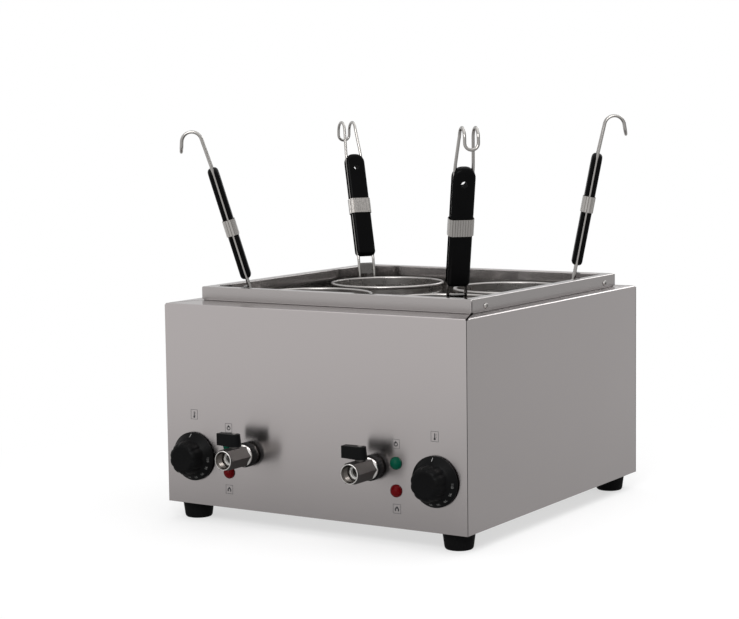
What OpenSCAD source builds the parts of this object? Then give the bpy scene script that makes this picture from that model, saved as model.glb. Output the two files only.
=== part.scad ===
// Pasta cooker with two wells, two drain valves and four lift-out baskets.
// Millimetres, Z up, front towards -Y. The origin is on the floor under the middle of the whole outline.

/* [Cabinet] */
// Width of the sheet body
body_w = 440; // [425:1:480]
// Depth of the sheet body from front panel to back panel
body_d = 465; // [450:1:520]
// Height of the sheet body without the feet
body_h = 255; // [245:1:290]
// Thickness of the body sheet
sheet_t = 1.2; // [0.8:0.1:1.8]
// Open seam between neighbouring panels
seam = 0.5; // [0.3:0.1:1]
// Deck left free in front of the raised frame
deck_front = 50.5; // [44:0.5:56]
// Deck left free beside the raised frame
deck_side = 20.5; // [18:0.5:26]
// Deck left free behind the raised frame
deck_back = 21.5; // [20:0.5:28]
// Height of the upstand round the deck opening
upstand_h = 10; // [7:0.5:12]
// Height of the turned-up edge of the base plate
tray_h = 18; // [12:1:24]
// Width of the turned-in rear edge of each side panel
return_w = 16; // [14:1:22]

/* [Feet] */
// Height of a foot
foot_h = 22; // [16:1:28]
// Diameter of a foot at its top
foot_top_d = 40; // [34:1:44]
// Diameter of a foot at the floor
foot_floor_d = 34; // [28:1:36]
// Distance of a foot's axis from the two nearest sides of the body
foot_inset = 27; // [25:1:34]
// Diameter of a foot screw
foot_screw_d = 5; // [4:0.5:6]

/* [Raised frame] */
// Height of the frame above the deck
frame_h = 17.5; // [14:0.5:20]
// Width of the frame's flat lip
frame_lip = 13; // [12.5:0.5:16]
// Drop of the frame's inner skirt below its lip
frame_drop = 13; // [9:0.5:13.5]
// Distance of the front frame screw from the frame's front
frame_screw_front = 33.5; // [25:0.5:60]
// Distance of the rear frame screw from the frame's back
frame_screw_back = 34; // [20:0.5:60]
// Diameter of the sheet screws
sheet_screw_d = 3.8; // [3:0.1:4.2]

/* [Wells] */
// Thickness of a well's wall
well_t = 1; // [0.8:0.1:1.5]
// Inner corner radius of a well
well_corner_r = 12; // [8:1:18]
// Distance between the inner faces of the two middle walls
divider_w = 14; // [10:1:18]
// Depth of the middle walls' top below the deck
divider_drop = 19; // [12:1:30]
// Height of the divider cap's skirts
cap_skirt_h = 14; // [8:1:20]
// Height of the grid above the well's floor
grid_rise = 28.7; // [26:0.1:34]
// Thickness of the grid
grid_t = 1.5; // [1:0.1:2.5]
// Diameter of the holes in the grid
grid_hole_d = 10; // [6:1:14]
// Pitch of the holes in the grid
grid_pitch = 26; // [22:1:34]
// Gap between a grid and the well's side walls
grid_gap = 2; // [1:0.5:4]
// Diameter of a heater tube
heater_d = 8; // [6.5:0.5:10]
// Height of a heater's axis above the well's floor
heater_rise = 15; // [12:0.5:18]
// Distance between neighbouring runs of a heater
heater_pitch = 36; // [28:1:40]
// Distance of a heater's bends from the well's end walls
heater_end_gap = 23; // [18:1:40]
// Length of a heater's terminals behind the well
heater_tail = 24; // [18:1:28]

/* [Drain valves] */
// Distance of the valves from the middle of the wells, towards the middle of the front
valve_x = 5.5; // [-1.75:0.25:12.25]
// Height of the valves above the floor
valve_z = 93.5; // [90:0.5:100]
// Reach of the valve outlets in front of the panel
valve_reach = 55; // [54:0.5:62]
// Width across the flats of the valve body
valve_flats = 24; // [24:0.5:28]
// Distance of a valve's stem from the panel
stem_reach = 30; // [29:0.5:32]
// Diameter of the drain pipe
pipe_d = 20.9; // [20:0.1:21.3]
// Bore of the drain pipe
pipe_bore_d = 16; // [13:0.5:17]
// Outlet thread's inner diameter
outlet_d = 18.6; // [17:0.1:19]
// Length of the outlet thread
outlet_l = 12; // [9:0.5:12.5]
// Diameter of the ball
ball_d = 19.6; // [18.6:0.1:19.8]
// Bore of the ball
ball_bore_d = 11; // [9:0.5:12]
// Diameter of the valve stem
stem_d = 7; // [6:0.1:8]
// Length of the lever from the stem
lever_l = 23.5; // [20:0.5:32]
// Height of the lever
lever_h = 14.5; // [12:0.5:18]
// Thickness of the lever's arm
lever_w = 11; // [9:0.5:14]
// Diameter of the black lock ring
lock_ring_d = 31.4; // [29:0.2:34]
// Thickness of the black lock ring
lock_ring_t = 9; // [7:0.5:10]

/* [Controls] */
// Distance of the knobs from the sides of the body
knob_x = 42.5; // [40:0.5:48]
// Height of the knobs above the floor
knob_z = 83.5; // [80:0.5:90]
// Diameter of the knob's skirt
knob_skirt_d = 61.6; // [58:0.2:66]
// Diameter of the knob's grip
knob_grip_d = 44; // [38:0.5:46]
// Reach of the knob in front of the panel
knob_reach = 28; // [25:0.5:34]
// Gap between the knob's skirt and the panel
knob_gap = 1; // [0.6:0.1:2]
// Diameter of the thermostat spindle
spindle_d = 6; // [5:0.1:7]
// Size of the thermostat's square case
thermostat_w = 46; // [40:1:50]
// Depth of the thermostat's case
thermostat_d = 34; // [26:1:38]
// Pitch of the two thermostat screws
thermostat_pitch = 28; // [24:1:30]
// Diameter of a sensor bulb
bulb_d = 6.4; // [5:0.2:8]
// Length of a sensor bulb
bulb_l = 110; // [80:1:140]
// Distance of the lamps from the valves, towards the knobs
lamp_x = 31; // [28:0.5:38]
// Height of the red lamps above the floor
red_lamp_z = 67.3; // [60:0.1:72]
// Height of the green lamps above the floor
green_lamp_z = 100.6; // [95:0.1:110]
// Diameter of a lamp's head
lamp_d = 15.4; // [13:0.2:18]
// Height of a lamp's head
lamp_h = 7; // [5:0.5:9]
// Distance of the cable gland from the side of the body
gland_x = 70; // [55:1:100]
// Height of the cable gland above the floor
gland_z = 58; // [54:1:66]
// Bore of the cable gland
gland_bore_d = 9; // [7:0.5:10]
// Reach of the cable gland behind the back panel
gland_reach = 20; // [16:1:26]

/* [Baskets] */
// Outer diameter of the basket's wall
basket_d = 150; // [136:1:152]
// Thickness of the basket's wall
basket_t = 1; // [0.6:0.1:1.5]
// Diameter of the rolled rim's bead
rim_bead_d = 4.4; // [3:0.2:5]
// Height of the rim above the deck
rim_rise = 2; // [0:0.5:6]
// Clearance under a basket that stands on its grid
stand_gap = 0.3; // [0.2:0.1:0.5]
// Diameter of the handle wire
wire_d = 4; // [3.4:0.1:4.6]
// Distance between the two wires at the grip
wire_gap = 22; // [20:0.5:23]
// Distance between the two wires at the hook
hook_gap = 16.4; // [14:0.2:18]
// Length of the wires between grip and hook
hook_leg = 39; // [28:1:44]
// Radius of the hook
hook_r = 13; // [11:0.5:16]
// Outward set of the hook's bend from the wires
hook_set = 1.5; // [0:0.5:4]
// Angle of the hook's bend
hook_sweep = 160; // [145:1:180]
// Straight end of the hook before its cross bend
hook_tip = 5.5; // [3:0.5:8]
// Distance of the handle's foot from the basket's axis
handle_out = 85; // [84:0.5:97]
// Height of the grip's lower end above the rim
grip_rise = 29; // [26:0.5:34]
// Length of the grip
grip_l = 150; // [130:1:160]
// Width of the grip
grip_w = 29; // [28:0.5:33]
// Thickness of the grip
grip_t = 14; // [12:0.5:16]
// Width of the groove that shows the wire in the grip's edge
groove_w = 3; // [2:0.2:3.6]
// Length of the steel band round the grip
band_l = 21; // [14:1:28]
// Distance of the band's middle from the grip's upper end
band_drop = 74; // [60:1:90]
// Direction of the front left handle, seen from above
handle_turn_1 = 215; // [200:0.5:255]
// Direction of the back left handle
handle_turn_2 = 143; // [120:0.5:155]
// Direction of the front right handle
handle_turn_3 = 313; // [290:0.5:325]
// Direction of the back right handle
handle_turn_4 = 28; // [15:0.5:60]
// Outward lean of the front left handle
handle_lean_1 = 16.5; // [8:0.5:20]
// Outward lean of the back left handle
handle_lean_2 = 17.5; // [8:0.5:20]
// Outward lean of the front right handle
handle_lean_3 = 16; // [8:0.5:20]
// Outward lean of the back right handle
handle_lean_4 = 11; // [8:0.5:20]
// Height of the front left grip against the usual rise
grip_lift_1 = -6; // [-7:0.5:7]
// Height of the back left grip against the usual rise
grip_lift_2 = 2.5; // [-7:0.5:7]
// Height of the front right grip against the usual rise
grip_lift_3 = -2.5; // [-7:0.5:7]
// Height of the back right grip against the usual rise
grip_lift_4 = 2; // [-7:0.5:7]
// Slip of the front left band down its grip
band_slip_1 = 7; // [-12:0.5:12]
// Slip of the back left band down its grip
band_slip_2 = 3; // [-12:0.5:12]
// Slip of the front right band down its grip
band_slip_3 = 0; // [-12:0.5:12]
// Slip of the back right band down its grip
band_slip_4 = -5.5; // [-12:0.5:12]

/* [Fits] */
// Radial gap of turning parts
running_fit = 0.05; // [0.03:0.01:0.08]
// Gap of parts that are fixed in each other
fixed_fit = 0.1; // [0.05:0.05:0.2]
// Gap between folded sheets that lie side by side
sheet_fit = 0.3; // [0.2:0.05:0.4]

/* [Hidden] */
$fn = 48;
cut = 1;
top_z = foot_h + body_h;
half_w = body_w / 2;
front_y = (valve_reach - body_d - gland_reach) / 2;
back_y = front_y + body_d;

frame_x = half_w - deck_side;
frame_y0 = front_y + deck_front;
frame_y1 = back_y - deck_back;
frame_top = top_z + frame_h;
frame_screw_y = [frame_y0 + frame_screw_front, frame_y1 - frame_screw_back];
frame_screw_z = top_z + upstand_h * 0.7;
screw_head_r = sheet_screw_d * 0.95;
screw_head_h = sheet_screw_d * 0.58;
screw_l = 7;
back_screw_low = 14;
back_screw_high = 30;
back_screw_z = [foot_h + tray_h + back_screw_low, top_z - back_screw_high];
screw_hole_r = sheet_screw_d / 2 + fixed_fit;

// the upstand lies inside the frame's outer skirt
stand_x = frame_x - sheet_t - sheet_fit;
stand_y0 = frame_y0 + sheet_t + sheet_fit;
stand_y1 = frame_y1 - sheet_t - sheet_fit;
stand_z = top_z + upstand_h;

// the well's walls lie outside the frame's inner skirt
well_x0 = divider_w / 2;
well_x1 = frame_x - frame_lip + sheet_t + sheet_fit;
well_y0 = frame_y0 + frame_lip - sheet_t - sheet_fit;
well_y1 = frame_y1 - frame_lip + sheet_t + sheet_fit;
well_cx = (well_x0 + well_x1) / 2;
well_l = well_y1 - well_y0;
valve_at = well_cx - valve_x;
lamp_at = valve_at + lamp_x;
knob_at = half_w - knob_x;
gland_at = half_w - gland_x;
well_floor = valve_z - pipe_d / 2 - 1;
divider_z = top_z - divider_drop;
notch_x = well_x0 + well_corner_r + 2;
grid_z = well_floor + grid_rise;
grid_x0 = well_x0 + grid_gap;
grid_x1 = well_x1 - grid_gap;
grid_y0 = well_y0 + well_corner_r;
grid_y1 = well_y1 - well_corner_r;
heater_z = well_floor + heater_rise;
heater_bend_r = heater_pitch / 2;
heater_y0 = well_y0 + heater_end_gap + heater_bend_r + heater_d / 2;
heater_y1 = well_y1 - heater_end_gap - heater_bend_r - heater_d / 2;
heater_runs = [for (i = [0:3]) well_cx + (i - 1.5) * heater_pitch];
heater_nut_t = 6;
heater_nut_r = heater_d * 1.2;

// distances along a valve are counted from the panel
hex_r = valve_flats / 2 / cos(30);
chamber_r = ball_d / 2 + 0.4;
seat_l = 5.5;
seat_s = ball_d * 0.3;
seat_in_r = ball_bore_d / 2 + 0.5;
seat_cone = sqrt(2) * (ball_d / 2 + fixed_fit);
chamber_s0 = stem_reach - seat_s - seat_l;
chamber_s1 = stem_reach + seat_s + seat_l;
pipe_s = chamber_s0 - fixed_fit;
collar_t = 2.2;
boss_r = stem_d / 2 + 3;
boss_h = valve_flats / 2 + 3;
lever_z = boss_h + 0.6;
lever_hub_r = boss_r + 2;
lever_step = 0.8;
lever_round = 2;
lever_screw_d = 3.2;
lever_screw_head_d = 6.6;
lever_screw_head_h = 2;
stem_top = lever_z + lever_h - lever_screw_head_h - 2.4;
stem_flat = stem_d * 0.74;
tang_t = 2.6;
tang_z = ball_bore_d / 2 + 1.4;
weld_collar_t = 3;
weld_collar_d = pipe_d + 8;

knob_rim_t = 3;
knob_boss_r = spindle_d / 2 + 3.5;
knob_cone_s = knob_gap + 9;
bush_r = spindle_d / 2 + 2;
bush_s = 5;
knob_face_t = 10;
spindle_s = knob_reach - knob_face_t;
spindle_tail = 12;
thermostat_screw_d = 4;
thermostat_screw_head_h = 2.2;
knob_hollow_r = thermostat_pitch / 2 + thermostat_screw_d * 0.9 + 0.4;
knob_hollow_s = bush_s + 2.5;
// the bulbs lie under the heaters
sensor_z = well_floor + (heater_rise - heater_d / 2) / 2;
capillary_d = 2;
sensor_neck_d = bulb_d + 1.6;
sensor_nut_r = sensor_neck_d * 0.9;
sensor_nut_t = 5;
sensor_x = well_x1 - well_corner_r - sensor_nut_r - 1;
lamp_barrel_r = lamp_d * 0.38;
lamp_barrel_l = 28;
lamp_nut_t = 4;
lamp_nut_r = lamp_d * 0.62;
gland_thread_r = gland_bore_d / 2 + 3.5;
gland_hex_r = gland_thread_r + 4;
gland_hex_t = 6;
gland_tail = 14;
gland_nut_t = 5;
block_size = [22, 62, 24];
block_cells = 5;
block_inset = 130;

wire_r = wire_d / 2;
rim_z = top_z + rim_rise;
rim_r = basket_d / 2 + rim_bead_d / 2 - basket_t;
rim_out_r = rim_r + rim_bead_d / 2;
basket_z = grid_z + stand_gap;
basket_bevel = 8;
drain_hole_d = 12;
drain_holes = 8;
drain_ring_r = basket_d * 0.27;
wire_tail = 26;
wire_bend = 4;
wire_y = wire_gap / 2;
wire_x = sqrt(pow(rim_out_r + wire_r + sheet_fit, 2) - pow(wire_y, 2));
wire_sides = 8;
bend_steps = 4;
hook_steps = 10;
hook_y = hook_gap / 2;
hook_u = grip_l + hook_leg;
grip_z = rim_z + grip_rise;
grip_round = grip_t / 2 - 0.6;
grip_hole_d = 8;
grip_hole_drop = 20;
wire_hole_r = wire_r + sheet_fit;
band_t = 1.2;
band_fit = 0.05;
catch_t = 1.6;
catch_gap = 5;
catch_reach = 8;
handle_turn = [handle_turn_1, handle_turn_2, handle_turn_3, handle_turn_4];
handle_lean = [handle_lean_1, handle_lean_2, handle_lean_3, handle_lean_4];
grip_foot_z = [for (lift = [grip_lift_1, grip_lift_2, grip_lift_3, grip_lift_4]) grip_z + lift];
band_slip = [band_slip_1, band_slip_2, band_slip_3, band_slip_4];
basket_x = [-well_cx, -well_cx, well_cx, well_cx];
basket_y = [for (i = [0:3]) well_y0 + well_l * (i % 2 == 0 ? 0.25 : 0.75)];

steel = "silver";
brushed = "lightgray";
black = "#1c1c1e";
nickel = "#b9b4a8";

// Helpers

// a box given by its two corners
module box(low, high) translate(low) cube(high - low);

// children face out of the front panel: local z runs forward, local y runs up
module on_front(x, z) translate([x, front_y, z]) rotate([90, 0, 0]) children();

// children face out of the back panel
module on_back(x, z) translate([x, back_y, z]) rotate([-90, 0, 0]) children();

// children face out of the right-hand side of the frame
module on_frame_side(y, z) translate([frame_x, y, z]) rotate([0, 90, 0]) children();

// the right-hand piece, or its mirror image on the left
module on_side(side) mirror([side < 0 ? 1 : 0, 0, 0]) children();

// axes along Y from y0 to y1
module rod_y(x, z, y0, y1, r) translate([x, y0, z]) rotate([-90, 0, 0]) cylinder(r = r, h = y1 - y0);

// a rectangle with round corners
module round_rect(x0, y0, x1, y1, r) {
    translate([x0 + r, y0]) square([x1 - x0 - 2 * r, y1 - y0]);
    translate([x0, y0 + r]) square([x1 - x0, y1 - y0 - 2 * r]);
    for (x = [x0 + r, x1 - r], y = [y0 + r, y1 - r]) translate([x, y]) circle(r);
}

// a ring along z
module ring(r_in, r_out, h) difference() {
    cylinder(r = r_out, h = h);
    translate([0, 0, -cut]) cylinder(r = r_in, h = h + 2 * cut);
}

// a pan-head screw whose head stands on z = 0
module sheet_screw() {
    cylinder(r = screw_head_r, h = screw_head_h);
    translate([0, 0, -screw_l]) cylinder(r = sheet_screw_d / 2, h = screw_l);
}

module screw_hole() translate([0, 0, -screw_l]) cylinder(r = screw_hole_r, h = screw_l + 2 * cut);

// the four corners where the back panel is screwed to the side panels
module at_back_screws() for (s = [-1, 1], z = back_screw_z)
    on_back(s * (half_w - return_w / 2), z) children();

module at_frame_screws(side) for (y = frame_screw_y)
    on_side(side) on_frame_side(y, frame_screw_z) children();

// Cabinet

module base_plate() color(brushed) {
    x = half_w - sheet_t - sheet_fit;
    y0 = front_y + sheet_t + sheet_fit;
    y1 = back_y - 2 * sheet_t - sheet_fit;
    difference() {
        box([-x, y0, foot_h], [x, y1, foot_h + tray_h]);
        box([-x + sheet_t, y0 + sheet_t, foot_h + sheet_t],
            [x - sheet_t, y1 - sheet_t, foot_h + tray_h + cut]);
        at_feet() translate([0, 0, foot_h - cut])
            cylinder(d = foot_screw_d + 2 * fixed_fit, h = sheet_t + 2 * cut);
    }
}

// the mitre runs from the cabinet's corner to the corner of the deck opening
function mitre_x(y) =
    half_w - (half_w - stand_x + sheet_t) * (y - front_y) / (stand_y0 + sheet_t - front_y);

function mitre_back_x(y) =
    half_w - (half_w - stand_x + sheet_t) * (back_y - y) / (back_y - stand_y1 + sheet_t);

module front_panel() color(steel) {
    inner_x = stand_x - sheet_t;
    inner_y = stand_y0 + sheet_t;
    difference() {
        union() {
            box([-half_w, front_y, foot_h], [half_w, front_y + sheet_t, top_z - sheet_t]);
            translate([0, 0, top_z - sheet_t]) linear_extrude(sheet_t) polygon([
                [-half_w, front_y], [half_w, front_y],
                [inner_x - seam, inner_y], [-inner_x + seam, inner_y]]);
            box([-inner_x + seam, stand_y0, top_z - sheet_t], [inner_x - seam, inner_y, stand_z]);
        }
        for (s = [-1, 1]) {
            on_front(s * valve_at, valve_z) front_hole(pipe_d / 2 + sheet_fit);
            on_front(s * knob_at, knob_z) front_hole(bush_r + fixed_fit);
            for (t = [-1, 1]) on_front(s * knob_at + t * thermostat_pitch / 2, knob_z)
                front_hole(thermostat_screw_d / 2 + fixed_fit);
            for (z = [red_lamp_z, green_lamp_z]) on_front(s * lamp_at, z)
                front_hole(lamp_barrel_r + fixed_fit);
        }
    }
}

module front_hole(r) translate([0, 0, -sheet_t - cut]) cylinder(r = r, h = sheet_t + 2 * cut);

module back_panel() color(steel) {
    inner_x = stand_x - sheet_t;
    inner_y = stand_y1 - sheet_t;
    difference() {
        union() {
            box([-half_w, back_y - sheet_t, foot_h], [half_w, back_y, top_z - sheet_t]);
            translate([0, 0, top_z - sheet_t]) linear_extrude(sheet_t) polygon([
                [-half_w, back_y], [half_w, back_y], [inner_x - seam, inner_y], [-inner_x + seam, inner_y]]);
            box([-inner_x + seam, inner_y, top_z - sheet_t], [inner_x - seam, stand_y1, stand_z]);
        }
        at_back_screws() screw_hole();
        on_back(-gland_at, gland_z) front_hole(gland_thread_r + fixed_fit);
    }
}

module side_panel(side) color(steel) on_side(side) {
    y0 = front_y + sheet_t + seam;
    y1 = back_y - sheet_t - seam;
    inner_x = stand_x - sheet_t;
    return_y = back_y - sheet_t;
    difference() {
        union() {
            box([half_w - sheet_t, y0, foot_h], [half_w, return_y, top_z - sheet_t - seam]);
            box([half_w - sheet_t, y0, top_z - sheet_t - seam], [half_w, y1, top_z - sheet_t]);
            translate([0, 0, top_z - sheet_t]) linear_extrude(sheet_t) polygon([
                [half_w, y0], [half_w, y1], [mitre_back_x(y1), y1], [inner_x, stand_y1 - sheet_t],
                [inner_x, stand_y0 + sheet_t], [mitre_x(y0), y0]]);
            box([inner_x, stand_y0 + sheet_t + seam, top_z - sheet_t],
                [stand_x, stand_y1 - sheet_t - seam, stand_z]);
            box([half_w - return_w, return_y - sheet_t, foot_h], [half_w, return_y, top_z - sheet_t - seam]);
        }
        for (y = frame_screw_y) on_frame_side(y, frame_screw_z) screw_hole();
        at_back_screws() screw_hole();
    }
}

module left_panel() side_panel(-1);

module right_panel() side_panel(1);

module at_feet() for (x = [-1, 1], y = [front_y + foot_inset, back_y - foot_inset])
    translate([x * (half_w - foot_inset), y, 0]) children();

module feet() color(black) at_feet() difference() {
    rotate_extrude() polygon([
        [0, 0], [foot_floor_d / 2 - 1.5, 0], [foot_floor_d / 2, 1.5], [foot_top_d / 2, foot_h - 3],
        [foot_top_d / 2, foot_h], [0, foot_h]]);
    translate([0, 0, -cut]) cylinder(d = 2 * foot_screw_d + 4, h = foot_h * 0.4 + cut);
    translate([0, 0, -cut]) cylinder(d = foot_screw_d + 2 * fixed_fit, h = foot_h + 2 * cut);
}

module foot_screws() color(steel) at_feet() {
    head_h = foot_screw_d * 0.6;
    nut_h = foot_screw_d * 0.8;
    head_z = foot_h * 0.4 - head_h;
    nut_z = foot_h + sheet_t;
    translate([0, 0, head_z]) cylinder(d = 1.9 * foot_screw_d, h = head_h);
    translate([0, 0, head_z]) cylinder(d = foot_screw_d, h = nut_z + nut_h + 2 - head_z);
    translate([0, 0, nut_z]) difference() {
        cylinder(d = 1.9 * foot_screw_d, h = nut_h, $fn = 6);
        translate([0, 0, -cut]) cylinder(d = foot_screw_d + 2 * fixed_fit, h = nut_h + 2 * cut);
    }
}

// the frame's mouth follows the round corners of the wells
module frame_mouth(grow) round_rect(-frame_x + frame_lip - grow, frame_y0 + frame_lip - grow,
    frame_x - frame_lip + grow, frame_y1 - frame_lip + grow, well_corner_r - sheet_fit - sheet_t + grow);

module tank_frame() color(brushed) difference() {
    box([-frame_x, frame_y0, top_z], [frame_x, frame_y1, frame_top]);
    translate([0, 0, top_z - cut]) linear_extrude(frame_h + 2 * cut) frame_mouth(0);
    difference() {
        box([-frame_x + sheet_t, frame_y0 + sheet_t, top_z - cut],
            [frame_x - sheet_t, frame_y1 - sheet_t, frame_top - sheet_t]);
        translate([0, 0, frame_top - frame_drop]) linear_extrude(frame_drop) frame_mouth(sheet_t);
    }
    for (s = [-1, 1]) at_frame_screws(s) screw_hole();
}

module sheet_screws() color(steel) {
    for (s = [-1, 1]) at_frame_screws(s) sheet_screw();
    at_back_screws() sheet_screw();
}

// Wells

module well_outline(grow) round_rect(well_x0 - grow, well_y0 - grow, well_x1 + grow, well_y1 + grow,
    well_corner_r + grow);

module well(side) color(brushed) on_side(side) difference() {
    union() {
        translate([0, 0, well_floor - well_t]) linear_extrude(stand_z + well_t - well_floor)
            well_outline(well_t);
        translate([0, 0, stand_z]) linear_extrude(well_t)
            round_rect(well_x0 - well_t, stand_y0, stand_x, stand_y1, well_corner_r);
    }
    translate([0, 0, well_floor]) linear_extrude(stand_z + 2 * well_t - well_floor + cut) well_outline(0);
    box([-cut, stand_y0 - cut, divider_z], [notch_x, stand_y1 + cut, stand_z + well_t + cut]);
    rod_y(valve_at, valve_z, well_y0 - well_t - cut, well_y0 + cut, pipe_d / 2 + fixed_fit);
    rod_y(sensor_x, sensor_z, well_y0 - well_t - cut, well_y0 + cut, sensor_neck_d / 2 + fixed_fit);
    for (x = [heater_runs[0], heater_runs[3]])
        rod_y(x, heater_z, well_y1 - cut, well_y1 + well_t + cut, heater_d / 2 + fixed_fit);
}

module well_left() well(-1);

module well_right() well(1);

module divider_cap() color(brushed) {
    x = well_x0 + fixed_fit;
    y0 = well_y0 + well_corner_r;
    y1 = well_y1 - well_corner_r;
    box([-x - sheet_t, y0, divider_z], [x + sheet_t, y1, divider_z + sheet_t]);
    for (s = [-1, 1]) on_side(s)
        box([x, y0, divider_z - cap_skirt_h], [x + sheet_t, y1, divider_z + sheet_t]);
}

module heater_bend(x, y, turn) translate([x, y, heater_z]) rotate([0, 0, turn])
    rotate_extrude(angle = 180) translate([heater_bend_r, 0]) circle(d = heater_d);

module heater(side) color("dimgray") on_side(side) {
    for (x = [heater_runs[1], heater_runs[2]]) rod_y(x, heater_z, heater_y0, heater_y1, heater_d / 2);
    for (x = [heater_runs[0], heater_runs[3]])
        rod_y(x, heater_z, heater_y0, well_y1 + heater_tail, heater_d / 2);
    for (i = [0, 2]) heater_bend((heater_runs[i] + heater_runs[i + 1]) / 2, heater_y0, 180);
    heater_bend(well_cx, heater_y1, 0);
}

module heater_left() heater(-1);

module heater_right() heater(1);

module heater_nuts() color(nickel) for (s = [-1, 1], x = [heater_runs[0], heater_runs[3]]) on_side(s)
    translate([x, well_y1 + well_t, heater_z]) rotate([-90, 0, 0]) difference() {
        cylinder(r = heater_nut_r, h = heater_nut_t, $fn = 6);
        translate([0, 0, -cut]) cylinder(d = heater_d + 2 * fixed_fit, h = heater_nut_t + 2 * cut);
    }

module grid(side) color(brushed) on_side(side) difference() {
    columns = floor((grid_x1 - grid_x0 - grid_pitch) / grid_pitch);
    rows = floor((grid_y1 - grid_y0 - grid_pitch) / grid_pitch);
    union() {
        box([grid_x0, grid_y0, grid_z - grid_t], [grid_x1, grid_y1, grid_z]);
        for (x = [grid_x0, grid_x1 - grid_t]) box([x, grid_y0, well_floor], [x + grid_t, grid_y1, grid_z]);
    }
    for (i = [0:columns], j = [0:rows])
        translate([(grid_x0 + grid_x1) / 2 + (i - columns / 2) * grid_pitch,
            (grid_y0 + grid_y1) / 2 + (j - rows / 2) * grid_pitch, grid_z - grid_t - cut])
            cylinder(d = grid_hole_d, h = grid_t + 2 * cut);
}

module grid_left() grid(-1);

module grid_right() grid(1);

// Drain valves

module drain_pipes() color(nickel) for (s = [-1, 1]) difference() {
    union() {
        rod_y(s * valve_at, valve_z, front_y - pipe_s, well_y0 + 2, pipe_d / 2);
        rod_y(s * valve_at, valve_z, well_y0 - well_t - weld_collar_t, well_y0 - well_t, weld_collar_d / 2);
    }
    rod_y(s * valve_at, valve_z, front_y - pipe_s - cut, well_y0 + 2 + cut, pipe_bore_d / 2);
}

module valve_lock_rings() color(black) for (s = [-1, 1]) on_front(s * valve_at, valve_z)
    ring(pipe_d / 2 + fixed_fit, lock_ring_d / 2, lock_ring_t);

// a frame at the middle of a valve's ball, with the axes of the cabinet
module at_stem(side) translate([side * valve_at, front_y - stem_reach, valve_z]) children();

module valve_body(side) color(nickel) difference() {
    union() {
        on_front(side * valve_at, valve_z) {
            translate([0, 0, lock_ring_t]) cylinder(r = valve_flats / 2, h = collar_t);
            translate([0, 0, lock_ring_t + collar_t])
                cylinder(r = hex_r, h = valve_reach - lock_ring_t - collar_t, $fn = 6);
        }
        at_stem(side) cylinder(r = boss_r, h = boss_h);
    }
    on_front(side * valve_at, valve_z) {
        translate([0, 0, lock_ring_t - cut])
            cylinder(d = pipe_d + 2 * fixed_fit, h = chamber_s0 - lock_ring_t + cut);
        translate([0, 0, chamber_s0 - cut]) cylinder(r = chamber_r, h = chamber_s1 - chamber_s0 + cut);
        translate([0, 0, chamber_s1 - cut]) cylinder(d = pipe_bore_d, h = valve_reach - chamber_s1);
        translate([0, 0, valve_reach - outlet_l]) cylinder(d = outlet_d, h = outlet_l + cut);
    }
    at_stem(side) cylinder(r = stem_d / 2 + running_fit, h = boss_h + cut);
}

module valve_body_left() valve_body(-1);

module valve_body_right() valve_body(1);

// a seat's face is a cone of 45 degrees round the ball
module valve_seat() rotate_extrude() polygon([
    [seat_in_r, 0], [chamber_r - fixed_fit, 0], [chamber_r - fixed_fit, seat_l],
    [seat_cone - seat_s, seat_l], [seat_in_r, seat_s + seat_l - seat_cone + seat_in_r]]);

module valve_seats() color("white") for (s = [-1, 1]) on_front(s * valve_at, valve_z) {
    translate([0, 0, chamber_s0]) valve_seat();
    translate([0, 0, chamber_s1]) mirror([0, 0, 1]) valve_seat();
}

module valve_ball(side) color(steel) at_stem(side) difference() {
    sphere(d = ball_d);
    rotate([0, 90, 0]) cylinder(d = ball_bore_d, h = ball_d + 2 * cut, center = true);
    box([-ball_d, -tang_t / 2 - fixed_fit, tang_z], [ball_d, tang_t / 2 + fixed_fit, ball_d]);
}

module valve_ball_left() valve_ball(-1);

module valve_ball_right() valve_ball(1);

module valve_stem(side) color(nickel) at_stem(side) difference() {
    union() {
        translate([0, 0, ball_d / 2 + fixed_fit]) cylinder(d = stem_d, h = lever_z - ball_d / 2 - fixed_fit);
        intersection() {
            translate([0, 0, tang_z + fixed_fit]) cylinder(d = stem_d, h = ball_d);
            box([-stem_d, -tang_t / 2, 0], [stem_d, tang_t / 2, lever_z]);
        }
        intersection() {
            translate([0, 0, lever_z]) cylinder(d = stem_d, h = stem_top - lever_z);
            box([-stem_d, -stem_flat / 2, 0], [stem_d, stem_flat / 2, stem_top]);
        }
    }
    translate([0, 0, stem_top - 9]) cylinder(d = lever_screw_d + 2 * fixed_fit, h = 9 + cut);
}

module valve_stem_left() valve_stem(-1);

module valve_stem_right() valve_stem(1);

module valve_lever(side) color(black) at_stem(side) difference() {
    union() {
        translate([0, 0, lever_z]) cylinder(r = lever_hub_r, h = lever_h);
        translate([0, 0, lever_z + lever_step]) linear_extrude(lever_h - lever_step)
            round_rect(-lever_l, -lever_w / 2, 0, lever_w / 2, lever_round);
    }
    intersection() {
        translate([0, 0, lever_z - cut]) cylinder(d = stem_d + 2 * fixed_fit, h = stem_top - lever_z + cut);
        box([-stem_d, -stem_flat / 2 - fixed_fit, 0], [stem_d, stem_flat / 2 + fixed_fit, stem_top]);
    }
    translate([0, 0, stem_top - cut]) cylinder(d = lever_screw_d + 2 * fixed_fit, h = lever_h);
    translate([0, 0, lever_z + lever_h - lever_screw_head_h])
        cylinder(d = lever_screw_head_d + 2 * fixed_fit, h = lever_screw_head_h + cut);
}

module valve_lever_left() valve_lever(-1);

module valve_lever_right() valve_lever(1);

module lever_screw(side) color(steel) at_stem(side) {
    head_z = lever_z + lever_h - lever_screw_head_h;
    translate([0, 0, head_z]) cylinder(d = lever_screw_head_d, h = lever_screw_head_h);
    translate([0, 0, stem_top - 8]) cylinder(d = lever_screw_d, h = head_z + 8 - stem_top);
}

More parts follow.
